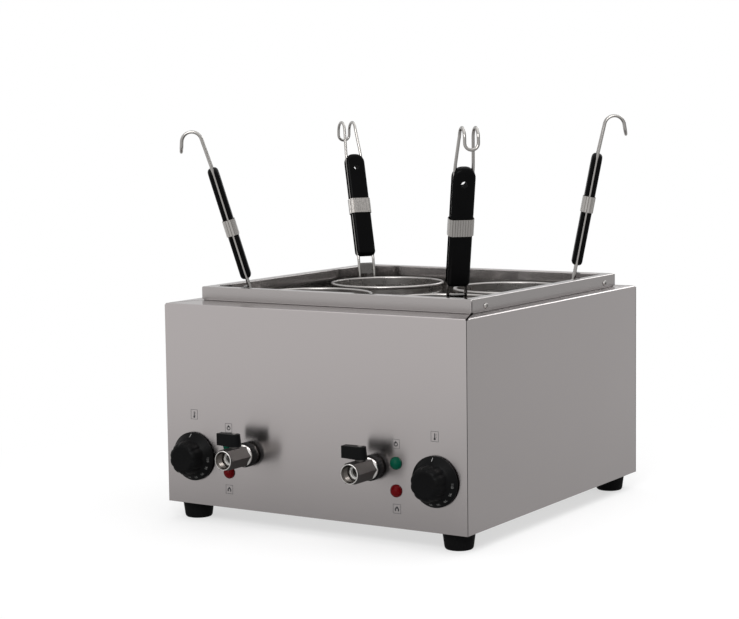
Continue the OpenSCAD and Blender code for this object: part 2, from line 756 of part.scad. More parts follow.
module lever_screw_left() lever_screw(-1);

module lever_screw_right() lever_screw(1);

// Controls

module thermostat(side) color("gainsboro") on_front(side * knob_at, knob_z) difference() {
    union() {
        translate([-thermostat_w / 2, -thermostat_w / 2, -sheet_t - thermostat_d])
            cube([thermostat_w, thermostat_w, thermostat_d]);
        translate([0, 0, -sheet_t]) cylinder(r = bush_r, h = sheet_t + bush_s);
    }
    translate([0, 0, -sheet_t - spindle_tail])
        cylinder(r = spindle_d / 2 + running_fit, h = spindle_tail + 2 * bush_s);
    for (t = [-1, 1]) translate([t * thermostat_pitch / 2, 0, -sheet_t - 9])
        cylinder(d = thermostat_screw_d + 2 * fixed_fit, h = 9 + cut);
}

module thermostat_left() thermostat(-1);

module thermostat_right() thermostat(1);

module thermostat_screws() color(steel) for (s = [-1, 1], t = [-1, 1])
    on_front(s * knob_at + t * thermostat_pitch / 2, knob_z) {
        cylinder(d = 1.8 * thermostat_screw_d, h = thermostat_screw_head_h);
        translate([0, 0, -sheet_t - 8]) cylinder(d = thermostat_screw_d, h = sheet_t + 8);
    }

module spindle(side) color(steel) on_front(side * knob_at, knob_z)
    translate([0, 0, -sheet_t - spindle_tail + fixed_fit])
        cylinder(d = spindle_d, h = sheet_t + spindle_tail + spindle_s - fixed_fit);

module spindle_left() spindle(-1);

module spindle_right() spindle(1);

module knob(side) color(black) on_front(side * knob_at, knob_z) difference() {
    grip_r = knob_grip_d / 2;
    skirt_r = knob_skirt_d / 2;
    rotate_extrude() polygon([
        [0, knob_gap], [skirt_r, knob_gap], [skirt_r, knob_gap + knob_rim_t], [grip_r + 2, knob_cone_s],
        [grip_r, knob_cone_s + 2], [grip_r - 1.5, knob_reach - 5], [grip_r - 3.2, knob_reach - 2],
        [grip_r - 6, knob_reach],
        [0, knob_reach]]);
    difference() {
        cylinder(r = knob_hollow_r, h = knob_hollow_s);
        translate([0, 0, bush_s + 0.5]) cylinder(r = knob_boss_r, h = knob_cone_s);
    }
    cylinder(d = spindle_d + 2 * fixed_fit, h = spindle_s + fixed_fit);
}

module knob_left() knob(-1);

module knob_right() knob(1);

// a bulb inside the well on a capillary that comes straight from the thermostat's case
module sensors() color("peru") for (s = [-1, 1]) {
    case_y = front_y + sheet_t + thermostat_d;
    wall_y = well_y0 - well_t;
    rod_y(s * sensor_x, sensor_z, case_y, wall_y, capillary_d / 2);
    rod_y(s * sensor_x, sensor_z, wall_y - sensor_nut_t, wall_y, sensor_nut_r);
    rod_y(s * sensor_x, sensor_z, wall_y - 1, well_y0 + 6, sensor_neck_d / 2);
    rod_y(s * sensor_x, sensor_z, well_y0, well_y0 + bulb_l, bulb_d / 2);
}

module lamps(z) for (s = [-1, 1]) on_front(s * lamp_at, z) {
    dome_r = (pow(lamp_d / 2, 2) + pow(lamp_h * 0.6, 2)) / (lamp_h * 1.2);
    cylinder(d = lamp_d, h = lamp_h * 0.4);
    intersection() {
        translate([0, 0, lamp_h - dome_r]) sphere(r = dome_r);
        translate([0, 0, lamp_h * 0.4]) cylinder(d = lamp_d, h = lamp_h);
    }
    translate([0, 0, -lamp_barrel_l]) cylinder(r = lamp_barrel_r, h = lamp_barrel_l);
}

module red_lamps() color("darkred") lamps(red_lamp_z);

module green_lamps() color("darkgreen") lamps(green_lamp_z);

module lamp_nuts() color(black) for (s = [-1, 1], z = [red_lamp_z, green_lamp_z]) on_front(s * lamp_at, z)
    translate([0, 0, -sheet_t - lamp_nut_t]) difference() {
        cylinder(r = lamp_nut_r, h = lamp_nut_t, $fn = 6);
        translate([0, 0, -cut]) cylinder(r = lamp_barrel_r + fixed_fit, h = lamp_nut_t + 2 * cut);
    }

module cable_gland() color(black) on_back(-gland_at, gland_z) {
    difference() {
        union() {
            cylinder(r = gland_hex_r, h = gland_hex_t, $fn = 6);
            cylinder(r = gland_thread_r + 2, h = gland_reach);
            translate([0, 0, -gland_tail]) cylinder(r = gland_thread_r, h = gland_tail);
        }
        translate([0, 0, -gland_tail - cut])
            cylinder(d = gland_bore_d, h = gland_tail + gland_reach + 2 * cut);
    }
    translate([0, 0, -sheet_t - gland_nut_t]) difference() {
        cylinder(r = gland_hex_r, h = gland_nut_t, $fn = 6);
        translate([0, 0, -cut]) cylinder(r = gland_thread_r + fixed_fit, h = gland_nut_t + 2 * cut);
    }
}

module terminal_block() color("ivory")
    translate([-gland_at - block_size[0] / 2, back_y - block_inset, foot_h + sheet_t]) difference() {
        cube(block_size);
        for (i = [1:block_cells - 1])
            translate([-cut, i * block_size[1] / block_cells - 1, block_size[2] / 2])
                cube([block_size[0] + 2 * cut, 2, block_size[2]]);
    }

// Baskets

module at_basket(i) translate([basket_x[i], basket_y[i], 0]) rotate([0, 0, handle_turn[i]]) children();

// local z runs up along the leaning grip, local x outwards
module at_grip(i) at_basket(i) translate([handle_out, 0, grip_foot_z[i]])
    rotate([0, handle_lean[i], 0]) children();

module basket(i) color(steel) at_basket(i) {
    r = basket_d / 2;
    difference() {
        rotate_extrude() polygon([
            [0, basket_z], [r - basket_bevel, basket_z], [r, basket_z + basket_bevel], [r, rim_z],
            [r - basket_t, rim_z], [r - basket_t, basket_z + basket_bevel + basket_t * 0.4],
            [r - basket_bevel - basket_t * 0.4, basket_z + basket_t], [0, basket_z + basket_t]]);
        for (a = [1:drain_holes]) rotate([0, 0, a * 360 / drain_holes])
            translate([drain_ring_r, 0, basket_z - cut]) cylinder(d = drain_hole_d, h = basket_t + 2 * cut);
    }
    translate([0, 0, rim_z]) rotate_extrude() translate([rim_r, 0]) circle(d = rim_bead_d);
}

module basket_1() basket(0);

module basket_2() basket(1);

module basket_3() basket(2);

module basket_4() basket(3);

// points of a rounded corner at b between a and c, which starts and ends d from b
function corner(a, b, c, d) =
    let (p = b + d * (a - b) / norm(a - b), q = b + d * (c - b) / norm(c - b))
    [for (k = [0:bend_steps]) let (t = k / bend_steps)
        (1 - t) * (1 - t) * p + 2 * t * (1 - t) * b + t * t * q];

// a point n outwards and u along the leaning grip of handle i
function lean_point(i, n, y, u) = let (lean = handle_lean[i])
    [handle_out + n * cos(lean) + u * sin(lean), y, grip_foot_z[i] - n * sin(lean) + u * cos(lean)];

// one half of the bent wire, from its welded tail up the grip and over the hook
function half_wire(i) =
    let (tail = [wire_x, wire_y, rim_z - wire_tail], rise = [wire_x, wire_y, rim_z + rim_bead_d],
        foot = lean_point(i, 0, wire_y, -wire_bend), head = lean_point(i, 0, wire_y, grip_l),
        bend_n = hook_set + hook_r)
    concat([tail], corner(tail, rise, foot, wire_bend), corner(rise, foot, head, wire_bend), [head],
        [for (k = [0:hook_steps]) let (a = hook_sweep * k / hook_steps)
            lean_point(i, bend_n - hook_r * cos(a), hook_y, hook_u + hook_r * sin(a))]);

// the half circle that joins the two hooks, in the plane of their ends
function cross_bend(i) =
    let (n = hook_set + hook_r - hook_r * cos(hook_sweep), u = hook_u + hook_r * sin(hook_sweep))
    [for (k = [0:hook_steps]) let (a = 180 * k / hook_steps, t = hook_tip + hook_y * sin(a))
        lean_point(i, n + t * sin(hook_sweep), hook_y * cos(a), u + t * cos(hook_sweep))];

function flip_y(path) = [for (k = [len(path) - 1:-1:0]) [path[k][0], -path[k][1], path[k][2]]];

function wire_path(i) = concat(half_wire(i), cross_bend(i), flip_y(half_wire(i)));

function unit(v) = v / norm(v);

// rings of points square to a path, turned as little as possible from one to the next
function ring_normals(dirs) = [for (k = 0, n = [0, 1, 0]; k < len(dirs);
    k = k + 1, n = k < len(dirs) ? unit(n - (n * dirs[k]) * dirs[k]) : n) n];

module tube(path, r, sides) {
    last = len(path) - 1;
    dirs = [for (k = [0:last]) unit(path[min(k + 1, last)] - path[max(k - 1, 0)])];
    normals = ring_normals(dirs);
    points = [for (k = [0:last]) let (n = normals[k], b = cross(dirs[k], n))
        for (j = [0:sides - 1]) path[k] + r * (cos(360 * j / sides) * n + sin(360 * j / sides) * b)];
    walls = [for (k = [0:last - 1], j = [0:sides - 1]) let (m = (j + 1) % sides, a = k * sides, c = a + sides)
        each [[a + j, c + m, a + m], [a + j, c + j, c + m]]];
    ends = [for (j = [1:sides - 2])
        each [[0, j, j + 1], [last * sides, last * sides + j + 1, last * sides + j]]];
    polyhedron(points, concat(walls, ends), convexity = 6);
}

module handle(i) color(steel) {
    at_basket(i) tube(wire_path(i), wire_r, wire_sides);
    // the catch is a bent strip between the wires, below the grip
    half = wire_y - wire_r - sheet_fit;
    foot = lean_point(i, 0, 0, -wire_bend);
    slope = atan2(foot[0] - wire_x, foot[2] - rim_z - rim_bead_d);
    catch_h = (foot[2] - rim_z - rim_bead_d / 2 - catch_gap) / cos(slope);
    at_basket(i) translate(foot) rotate([0, slope, 0]) {
        translate([-catch_t / 2, -half, -catch_h]) cube([catch_t, 2 * half, catch_h]);
        translate([-catch_t / 2, -half, -catch_t]) cube([catch_reach, 2 * half, catch_t]);
    }
}

module handle_1() handle(0);

module handle_2() handle(1);

module handle_3() handle(2);

module handle_4() handle(3);

module grip_section(grow) round_rect(-grip_t / 2 - grow, -grip_w / 2 - grow,
    grip_t / 2 + grow, grip_w / 2 + grow, grip_round + grow);

module grip(i) color(black) at_grip(i) difference() {
    intersection() {
        linear_extrude(grip_l) grip_section(0);
        translate([-grip_t, 0, 0]) rotate([90, 0, 90]) linear_extrude(2 * grip_t) {
            end_r = grip_w * 0.44;
            round_rect(-grip_w / 2, 0, grip_w / 2, grip_l - end_r, 4);
            round_rect(-grip_w / 2, grip_l / 2, grip_w / 2, grip_l, end_r);
        }
    }
    for (s = [-1, 1]) translate([0, s * wire_y, -cut]) {
        cylinder(r = wire_hole_r, h = grip_l + 2 * cut);
        translate([-groove_w / 2, s < 0 ? -grip_w : 0, 0]) cube([groove_w, grip_w, grip_l + 2 * cut]);
    }
    translate([-grip_t, 0, grip_l - grip_hole_drop]) rotate([0, 90, 0])
        cylinder(d = grip_hole_d, h = 2 * grip_t);
}

module grip_1() grip(0);

module grip_2() grip(1);

module grip_3() grip(2);

module grip_4() grip(3);

module band(i) color(steel) at_grip(i)
    translate([0, 0, grip_l - band_drop - band_slip[i] - band_l / 2]) difference() {
        linear_extrude(band_l) grip_section(band_fit + band_t);
        translate([0, 0, -cut]) linear_extrude(band_l + 2 * cut) grip_section(band_fit);
    }

module band_1() band(0);

module band_2() band(1);

module band_3() band(2);

module band_4() band(3);

base_plate();
front_panel();
left_panel();
right_panel();
back_panel();
feet();
foot_screws();
tank_frame();
sheet_screws();
well_left();
well_right();
divider_cap();
heater_left();
heater_right();
heater_nuts();
grid_left();
grid_right();
thermostat_left();
thermostat_right();
thermostat_screws();
sensors();
red_lamps();
green_lamps();
lamp_nuts();
drain_pipes();
valve_body_left();
valve_body_right();
valve_seats();
valve_lock_rings();
cable_gland();
terminal_block();
knob_left();
knob_right();
spindle_left();
spindle_right();
valve_ball_left();
valve_ball_right();
valve_stem_left();
valve_stem_right();
valve_lever_left();
valve_lever_right();
lever_screw_left();
lever_screw_right();
basket_1();
basket_2();
basket_3();
basket_4();
handle_1();
handle_2();
handle_3();
handle_4();
grip_1();
grip_2();
grip_3();
grip_4();
band_1();
band_2();
band_3();
band_4();
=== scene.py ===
from math import atan2, cos, hypot, pi, radians, sin

import bmesh
import bpy
from mathutils import Matrix, Vector


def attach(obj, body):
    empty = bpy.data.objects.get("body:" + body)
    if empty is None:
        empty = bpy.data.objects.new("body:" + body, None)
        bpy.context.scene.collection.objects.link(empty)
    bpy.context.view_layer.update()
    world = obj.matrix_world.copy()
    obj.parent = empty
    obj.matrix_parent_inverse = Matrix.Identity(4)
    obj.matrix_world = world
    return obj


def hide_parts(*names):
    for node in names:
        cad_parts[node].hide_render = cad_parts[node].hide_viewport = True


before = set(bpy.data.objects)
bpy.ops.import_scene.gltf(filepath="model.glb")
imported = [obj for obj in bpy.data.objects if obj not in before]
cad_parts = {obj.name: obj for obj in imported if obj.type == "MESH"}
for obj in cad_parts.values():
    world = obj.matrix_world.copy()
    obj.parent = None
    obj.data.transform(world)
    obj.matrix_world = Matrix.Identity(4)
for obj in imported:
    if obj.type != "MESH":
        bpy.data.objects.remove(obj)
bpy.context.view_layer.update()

scene = bpy.context.scene
scene.view_settings.view_transform = "Standard"
mm = 0.001

# Camera at the photograph's viewpoint, in metres and degrees
viewpoint = {"place": (1.3253, -2.15965, 0.5230), "azimuth": 32.457, "pitch": 5.958, "roll": -0.731,
             "lens": 95.13, "sensor": 36.0, "reach": 50}


def placeCamera():
    az, el, roll = (radians(viewpoint[k]) for k in ("azimuth", "pitch", "roll"))
    back = Vector((sin(az) * cos(el), -cos(az) * cos(el), sin(el)))
    right = Vector((cos(az), sin(az), 0))
    up = back.cross(right)
    turned = right * cos(roll) + up * sin(roll)
    upright = up * cos(roll) - right * sin(roll)
    pose = Matrix((turned, upright, back)).transposed().to_4x4()
    pose.translation = Vector(viewpoint["place"])
    lens = bpy.data.cameras.new("photoCamera")
    lens.sensor_width = viewpoint["sensor"]
    lens.lens = viewpoint["lens"]
    lens.clip_end = viewpoint["reach"]
    camera = bpy.data.objects.new("photoCamera", lens)
    camera.matrix_world = pose
    scene.collection.objects.link(camera)
    scene.camera = camera


placeCamera()
print("stage: camera")

# Node helpers


def addNode(tree, kind, sockets=None, **props):
    made = tree.nodes.new("ShaderNode" + kind)
    for key, value in props.items():
        setattr(made, key, value)
    for key, value in (sockets or {}).items():
        made.inputs[key].default_value = value
    return made


def mathNode(tree, operation, first, second):
    made = addNode(tree, "Math", operation=operation)
    for socket, value in zip(made.inputs, (first, second)):
        if isinstance(value, (int, float)):
            socket.default_value = value
        else:
            tree.links.new(value, socket)
    return made.outputs[0]


def rangeNode(tree, value, fromRange, toRange=(0.0, 1.0)):
    made = addNode(tree, "MapRange", {"From Min": fromRange[0], "From Max": fromRange[1],
                                                "To Min": toRange[0], "To Max": toRange[1]})
    tree.links.new(value, made.inputs["Value"])
    return made.outputs["Result"]


def mixShaders(tree, share, first, second):
    made = addNode(tree, "MixShader")
    tree.links.new(share, made.inputs[0])
    tree.links.new(first.outputs[0], made.inputs[1])
    tree.links.new(second.outputs[0], made.inputs[2])
    return made


# Studio: white surround, soft lamps, pale floor
# the mirror values paint a shadow around the cabinet into the floor that reflections see
studio = {"ambient": 0.62, "bright": 1.0, "dim": 0.64, "floorTone": 0.86, "shadowShare": 0.42,
          "fadeFrom": 0.30, "fadeTo": 0.75, "mirrorNear": 0.3, "mirrorFar": 1.25, "mirrorShadowLow": 0.44,
          "mirrorShadowRight": (0.58, 0.66), "rightWay": (0.62, 0.78, 0.0), "worldTurn": (-0.5, 0.7),
          "floorTurn": (-0.3, 0.5), "floorHalf": 14}
white = {"Color": (1, 1, 1, 1)}
# place, aim, size and watts
lampTable = {"keyLamp": ((0.9, -2.6, 2.0), (0, -0.1, 0.2), (1.6, 1.2), 52),
             "topLamp": ((0.3, 0.3, 2.4), (0, 0, 0.25), (3.4, 3.4), 40),
             "backLamp": ((0.3, 2.4, 1.4), (0.1, 0, 0.25), (1.6, 0.6), 9)}


def rayKinds(tree):
    path = addNode(tree, "LightPath").outputs
    return path["Is Glossy Ray"], mathNode(tree, "MAXIMUM", path["Is Camera Ray"], path["Is Transmission Ray"])


def rightShare(tree, way):
    side = addNode(tree, "VectorMath", operation="DOT_PRODUCT")
    side.inputs[1].default_value = studio["rightWay"]
    tree.links.new(way, side.inputs[0])
    return side.outputs["Value"]


def buildWorld():
    world = bpy.data.worlds.new("studio")
    scene.world = world
    world.use_nodes = True
    tree = world.node_tree
    tree.nodes.clear()
    link = tree.links.new
    glossy, seen = rayKinds(tree)
    # reflections see a surround that is a little darker behind the right-hand side
    side = rightShare(tree, addNode(tree, "TexCoord").outputs["Generated"])
    tone = rangeNode(tree, side, studio["worldTurn"], (studio["bright"], studio["dim"]))
    ambient = addNode(tree, "Background", {**white, "Strength": studio["ambient"]})
    mirror = addNode(tree, "Background", white)
    shown = addNode(tree, "Background", {**white, "Strength": 1.0})
    link(tone, mirror.inputs["Strength"])
    unseen = mixShaders(tree, glossy, ambient, mirror)
    out = addNode(tree, "OutputWorld")
    link(mixShaders(tree, seen, unseen, shown).outputs[0], out.inputs["Surface"])


def addLamp(name, place, aim, size, power):
    lamp = bpy.data.lights.new(name, "AREA")
    lamp.shape = "RECTANGLE"
    lamp.size, lamp.size_y = size
    lamp.energy = power
    holder = bpy.data.objects.new(name, lamp)
    holder.location = place
    holder.rotation_mode = "QUATERNION"
    holder.rotation_quaternion = (Vector(aim) - Vector(place)).to_track_quat("-Z", "Y")
    scene.collection.objects.link(holder)


def buildFloor():
    bm = bmesh.new()
    bmesh.ops.create_grid(bm, x_segments=2, y_segments=2, size=studio["floorHalf"])
    mesh = bpy.data.meshes.new("floor")
    bm.to_mesh(mesh)
    bm.free()
    floor = bpy.data.objects.new("floor", mesh)
    scene.collection.objects.link(floor)
    skin = bpy.data.materials.new("paleFloor")
    skin.use_nodes = True
    tree = skin.node_tree
    link = tree.links.new
    tree.nodes.clear()
    matte = addNode(tree, "BsdfDiffuse", {"Color": (studio["floorTone"],) * 3 + (1,)})
    glow = addNode(tree, "Emission", {**white, "Strength": 1.0})
    coords = addNode(tree, "TexCoord")
    reach = addNode(tree, "VectorMath", operation="LENGTH")
    link(coords.outputs["Object"], reach.inputs[0])
    fade = rangeNode(tree, reach.outputs["Value"], (studio["fadeFrom"], studio["fadeTo"]),
                     (1 - studio["shadowShare"], 1.0))
    glossy, seen = rayKinds(tree)
    shown = mixShaders(tree, mathNode(tree, "MULTIPLY", fade, seen), matte, glow)
    # painted shadow seen only in reflections: the floor's glow for glossy rays darkens towards the cabinet, less so
    # on the right-hand side
    ramp = (studio["mirrorNear"], studio["mirrorFar"])
    tones = [rangeNode(tree, reach.outputs["Value"], ramp, ends)
             for ends in ((studio["mirrorShadowLow"], 1.0), studio["mirrorShadowRight"])]
    way = addNode(tree, "VectorMath", operation="NORMALIZE")
    link(coords.outputs["Object"], way.inputs[0])
    side = rightShare(tree, way.outputs["Vector"])
    tone = addNode(tree, "Mix", data_type="FLOAT")
    link(rangeNode(tree, side, studio["floorTurn"]), tone.inputs["Factor"])
    link(tones[0], tone.inputs["A"])
    link(tones[1], tone.inputs["B"])
    shadedMirrorFloor = addNode(tree, "Emission", white)
    link(tone.outputs["Result"], shadedMirrorFloor.inputs["Strength"])
    out = addNode(tree, "OutputMaterial")
    link(mixShaders(tree, glossy, shown, shadedMirrorFloor).outputs[0], out.inputs["Surface"])
    mesh.materials.append(skin)


buildWorld()
for lampName, lampValues in lampTable.items():
    addLamp(lampName, *lampValues)
buildFloor()
print("stage: studio")

# Materials: every finish is a Principled shader with patchy colour, uneven gloss and a fine relief
texture = {"detail": 3.0, "fineRough": 0.6, "broadRough": 0.55, "fineShare": 0.45, "glossFrom": (0.3, 0.7)}


def makeFinish(name, metallic, base, rough, spread, patch, grain, relief, depth=0.0004, along=False, **sockets):
    skin = bpy.data.materials.new(name)
    skin.use_nodes = True
    tree = skin.node_tree
    link = tree.links.new
    shader = tree.nodes["Principled BSDF"]
    shader.inputs["Metallic"].default_value = metallic
    for key, value in sockets.items():
        shader.inputs[key.replace("_", " ")].default_value = value
    coords = addNode(tree, "TexCoord")
    where = coords.outputs["Object"]
    if along:
        where = addNode(tree, "UVMap", uv_map="grain").outputs["UV"]
    stretch = addNode(tree, "Mapping", {"Scale": grain if isinstance(grain, tuple) else (grain,) * 3})
    link(where, stretch.inputs["Vector"])
    fine = addNode(tree, "TexNoise", {"Scale": 1.0, "Detail": texture["detail"], "Roughness": texture["fineRough"]})
    link(stretch.outputs["Vector"], fine.inputs["Vector"])
    broad = addNode(tree, "TexNoise", {"Scale": patch, "Detail": texture["detail"],
                                       "Roughness": texture["broadRough"]})
    link(coords.outputs["Object"], broad.inputs["Vector"])
    blend = addNode(tree, "Mix", {"Factor": texture["fineShare"]}, data_type="FLOAT")
    link(broad.outputs["Fac"], blend.inputs["A"])
    link(fine.outputs["Fac"], blend.inputs["B"])
    colour = addNode(tree, "Mix", data_type="RGBA")
    dark, light = ([min(1.0, c * (1 + s * spread)) for c in base] + [1] for s in (-2, 2))
    for socket, value in ((colour.inputs[6], dark), (colour.inputs[7], light)):
        socket.default_value = value
    link(blend.outputs["Result"], colour.inputs[0])
    link(colour.outputs[2], shader.inputs["Base Color"])
    link(rangeNode(tree, blend.outputs["Result"], texture["glossFrom"], rough), shader.inputs["Roughness"])
    bump = addNode(tree, "Bump", {"Strength": relief, "Distance": depth})
    link(fine.outputs["Fac"], bump.inputs["Height"])
    link(bump.outputs["Normal"], shader.inputs["Normal"])
    if along:
        grainWay = addNode(tree, "Tangent", direction_type="UV_MAP", uv_map="grain")
        link(grainWay.outputs["Tangent"], shader.inputs["Tangent"])
    return skin


brushed = {"depth": 0.0002, "along": True, "Anisotropic": 0.78, "Anisotropic_Rotation": 0.25}


def dull(level):
    return {"Specular_IOR_Level": level}


# colour, roughness range, colour spread, patch scale, grain scale, relief, other values
metals = {
    "panelSteel": ((0.43, 0.402, 0.398), (0.20, 0.26), 0.02, 5, (10, 1100, 1), 0.05, brushed),
    "frameSteel": ((0.36, 0.34, 0.335), (0.15, 0.20), 0.015, 7, (12, 1300, 1), 0.02, brushed),
    "wellSteel": ((0.28, 0.265, 0.255), (0.22, 0.30), 0.02, 14, (60, 60, 900), 0.012),
    "traySteel": ((0.5, 0.49, 0.48), (0.32, 0.44), 0.05, 10, (30, 800, 800), 0.05),
    "meshSteel": ((0.62, 0.605, 0.59), (0.18, 0.28), 0.30, 420, 500, 0.05),
    "rimSteel": ((0.34, 0.325, 0.315), (0.24, 0.34), 0.05, 60, 900, 0.04),
    "catchSteel": ((0.13, 0.125, 0.12), (0.22, 0.32), 0.06, 60, 900, 0.05),
    "wireSteel": ((0.33, 0.318, 0.305), (0.16, 0.24), 0.05, 60, (900, 900, 60), 0.05),
    "bandSteel": ((0.36, 0.345, 0.33), (0.2, 0.3), 0.06, 80, 900, 0.05),
    # painted shade for the grooves between the band's ribs
    "bandGrooveShade": ((0.035, 0.033, 0.031), (0.35, 0.5), 0.1, 80, 900, 0.05),
    "screwSteel": ((0.34, 0.33, 0.32), (0.2, 0.3), 0.08, 200, 1500, 0.06),
    "nickel": ((0.60, 0.57, 0.53), (0.13, 0.22), 0.05, 120, 600, 0.10),
    "valveNickel": ((0.088, 0.083, 0.080), (0.36, 0.46), 0.05, 120, 600, 0.06),
    "polished": ((0.74, 0.72, 0.70), (0.10, 0.16), 0.03, 150, 900, 0.03),
    # painted shade for the inside of the valve outlet
    "boreShade": ((0.11, 0.10, 0.092), (0.22, 0.32), 0.10, 150, 700, 0.08),
    "ballSteel": ((0.16, 0.155, 0.15), (0.08, 0.14), 0.03, 150, 900, 0.03),
    "heaterSteel": ((0.20, 0.185, 0.17), (0.34, 0.5), 0.14, 30, 400, 0.1),
    "caseMetal": ((0.52, 0.52, 0.50), (0.34, 0.46), 0.06, 40, 800, 0.06),
    "copper": ((0.72, 0.38, 0.24), (0.25, 0.38), 0.10, 60, 700, 0.06),
}
plastics = {
    "gripPlastic": ((0.0022, 0.0022, 0.0023), (0.26, 0.36), 0.14, 60, 900, 0.10, dull(0.035)),
    "knobPlastic": ((0.0032, 0.0032, 0.0034), (0.36, 0.48), 0.14, 80, 1300, 0.16, dull(0.05)),
    "leverPlastic": ((0.0035, 0.0035, 0.0037), (0.34, 0.46), 0.14, 90, 1300, 0.16, dull(0.05)),
    "blackNylon": ((0.005, 0.005, 0.0052), (0.42, 0.55), 0.14, 90, 1200, 0.15, dull(0.12)),
    "footRubber": ((0.004, 0.004, 0.0041), (0.55, 0.72), 0.2, 60, 1500, 0.25, dull(0.04)),
    "seatPlastic": ((0.78, 0.77, 0.74), (0.35, 0.45), 0.03, 90, 900, 0.05),
    "terminalPlastic": ((0.68, 0.64, 0.54), (0.4, 0.5), 0.05, 60, 900, 0.08),
    "redLens": ((0.082, 0.0014, 0.0024), (0.16, 0.24), 0.2, 260, 700, 0.05, dull(0.06)),
    "greenLens": ((0.0006, 0.052, 0.030), (0.16, 0.24), 0.2, 260, 700, 0.05, dull(0.06)),
    "frameInk": ((0.07, 0.069, 0.07), (0.5, 0.6), 0.1, 400, 2500, 0.08),
    "darkInk": ((0.018, 0.018, 0.020), (0.5, 0.6), 0.1, 400, 2500, 0.08),
    "numberInk": ((0.11, 0.11, 0.108), (0.5, 0.6), 0.1, 500, 2500, 0.08),
    "indexInk": ((0.30, 0.30, 0.295), (0.5, 0.6), 0.1, 500, 2500, 0.08),
}
finishes = {name: makeFinish(name, metallic, *row[:6], **(row[6] if len(row) > 6 else {}))
            for metallic, table in ((1.0, metals), (0.0, plastics)) for name, row in table.items()}
print("stage: finishes", len(finishes))

# Mesh helpers, all in millimetres until the piece is added


def block(low, high):
    bm = bmesh.new()
    bmesh.ops.create_cube(bm, size=1)
    low, high = Vector(low), Vector(high)
    bmesh.ops.scale(bm, vec=high - low, verts=bm.verts)
    bmesh.ops.translate(bm, vec=(high + low) / 2, verts=bm.verts)
    return bm


def openLine(points):
    bm = bmesh.new()
    verts = [bm.verts.new(p) for p in points]
    return bm, verts, [bm.edges.new(pair) for pair in zip(verts, verts[1:])]


def rectangle(bm, x0, y0, x1, y1, z=0):
    return bm.faces.new([bm.verts.new((x, y, z)) for x, y in ((x0, y0), (x1, y0), (x1, y1), (x0, y1))])


def vertsOf(geom):
    return [g for g in geom if isinstance(g, bmesh.types.BMVert)]


def pull(bm, edges, way):
    grown = bmesh.ops.extrude_edge_only(bm, edges=edges)["geom"]
    bmesh.ops.translate(bm, vec=way, verts=vertsOf(grown))


def repeat(bm, geom, way):
    copy = bmesh.ops.duplicate(bm, geom=geom)["geom"]
    bmesh.ops.translate(bm, vec=way, verts=vertsOf(copy))


def evenNormals(bm):
    bmesh.ops.recalc_face_normals(bm, faces=bm.faces)
    return bm


def facesUp(face):
    return face.normal.z


def facesAway(face):
    return face.normal.xy.dot(face.calc_center_median().xy)


def outward(bm, measure, few=None):
    evenNormals(bm).normal_update()
    if sum(measure(g) for g in bm.faces[:few]) < 0:
        bmesh.ops.reverse_faces(bm, faces=bm.faces)
    return bm


def lathe(profile, steps):
    bm, verts, edges = openLine([(r, 0, h) for r, h in profile])
    if profile[0][0] and profile[0] != profile[-1] and profile[-1][0]:
        edges.append(bm.edges.new((verts[-1], verts[0])))
    bmesh.ops.spin(bm, geom=verts + edges, cent=(0, 0, 0), axis=(0, 0, 1), dvec=(0, 0, 0),
                   angle=2 * pi, steps=steps, use_merge=True, use_duplicate=False)
    bmesh.ops.remove_doubles(bm, verts=bm.verts, dist=1e-4)
    return evenNormals(bm)


def rod(radius, low, high, segments=32, taper=0):
    bm = bmesh.new()
    bmesh.ops.create_cone(bm, cap_ends=True, segments=segments, radius1=radius, radius2=radius - taper,
                          depth=high - low)
    bmesh.ops.translate(bm, vec=(0, 0, (high + low) / 2), verts=bm.verts)
    return bm


def bevelled(bm, geom, offset, segments, **how):
    bmesh.ops.bevel(bm, geom=list(geom), offset=offset, offset_type="OFFSET", segments=segments, profile=0.5,
                    material=-1, **how)
    return bm


def roundEdges(bm, edges, offset, segments):
    return bevelled(bm, edges, offset, segments, affect="EDGES", clamp_overlap=True)


def cutFlutes(bm, count, depth, fromR, low, high, power=None):
    for v in bm.verts:
        radius = hypot(v.co.x, v.co.y)
        if radius > fromR and low < v.co.z < high:
            wave = cos(count * atan2(v.co.y, v.co.x))
            wave = (0.5 + 0.5 * wave) ** power if power else max(0.0, wave)
            v.co.xy *= 1 - depth * wave / radius
    return bm


def innerEdges(bm):
    return [e for e in bm.edges if len(e.link_faces) == 2]


def sharpEdges(bm, angle=30):
    bm.normal_update()
    return [e for e in innerEdges(bm) if e.calc_face_angle(0) > radians(angle)]


def shift(x, y, z):
    return Matrix.Translation((x, y, z))


def spun(angle, axis):
    return Matrix.Rotation(angle, 4, axis)


def moved(bm, matrix):
    bmesh.ops.transform(bm, matrix=matrix, verts=bm.verts)
    return bm


def joined(*parts):
    whole = bmesh.new()
    for part in parts:
        spare = bpy.data.meshes.new("spare")
        part.to_mesh(spare)
        part.free()
        whole.from_mesh(spare)
        bpy.data.meshes.remove(spare)
    return whole


def onFront(x, z):
    return shift(x, cabinet["frontY"], z) @ spun(pi / 2, "X")


def onBack(x, z):
    return shift(x, cabinet["backY"], z) @ spun(-pi / 2, "X")


def toObject(name, bm):
    mesh = bpy.data.meshes.new(name)
    bmesh.ops.scale(bm, vec=(mm, mm, mm), verts=bm.verts)
    bm.to_mesh(mesh)
    bm.free()
    made = bpy.data.objects.new(name, mesh)
    scene.collection.objects.link(made)
    return made


def settle(piece):
    graph = bpy.context.evaluated_depsgraph_get()
    mesh = bpy.data.meshes.new_from_object(piece.evaluated_get(graph))
    old = piece.data
    piece.modifiers.clear()
    piece.data = mesh
    name = old.name
    bpy.data.meshes.remove(old)
    mesh.name = name
    return piece


def discard(piece):
    spare = piece.data
    bpy.data.objects.remove(piece)
    bpy.data.meshes.remove(spare)


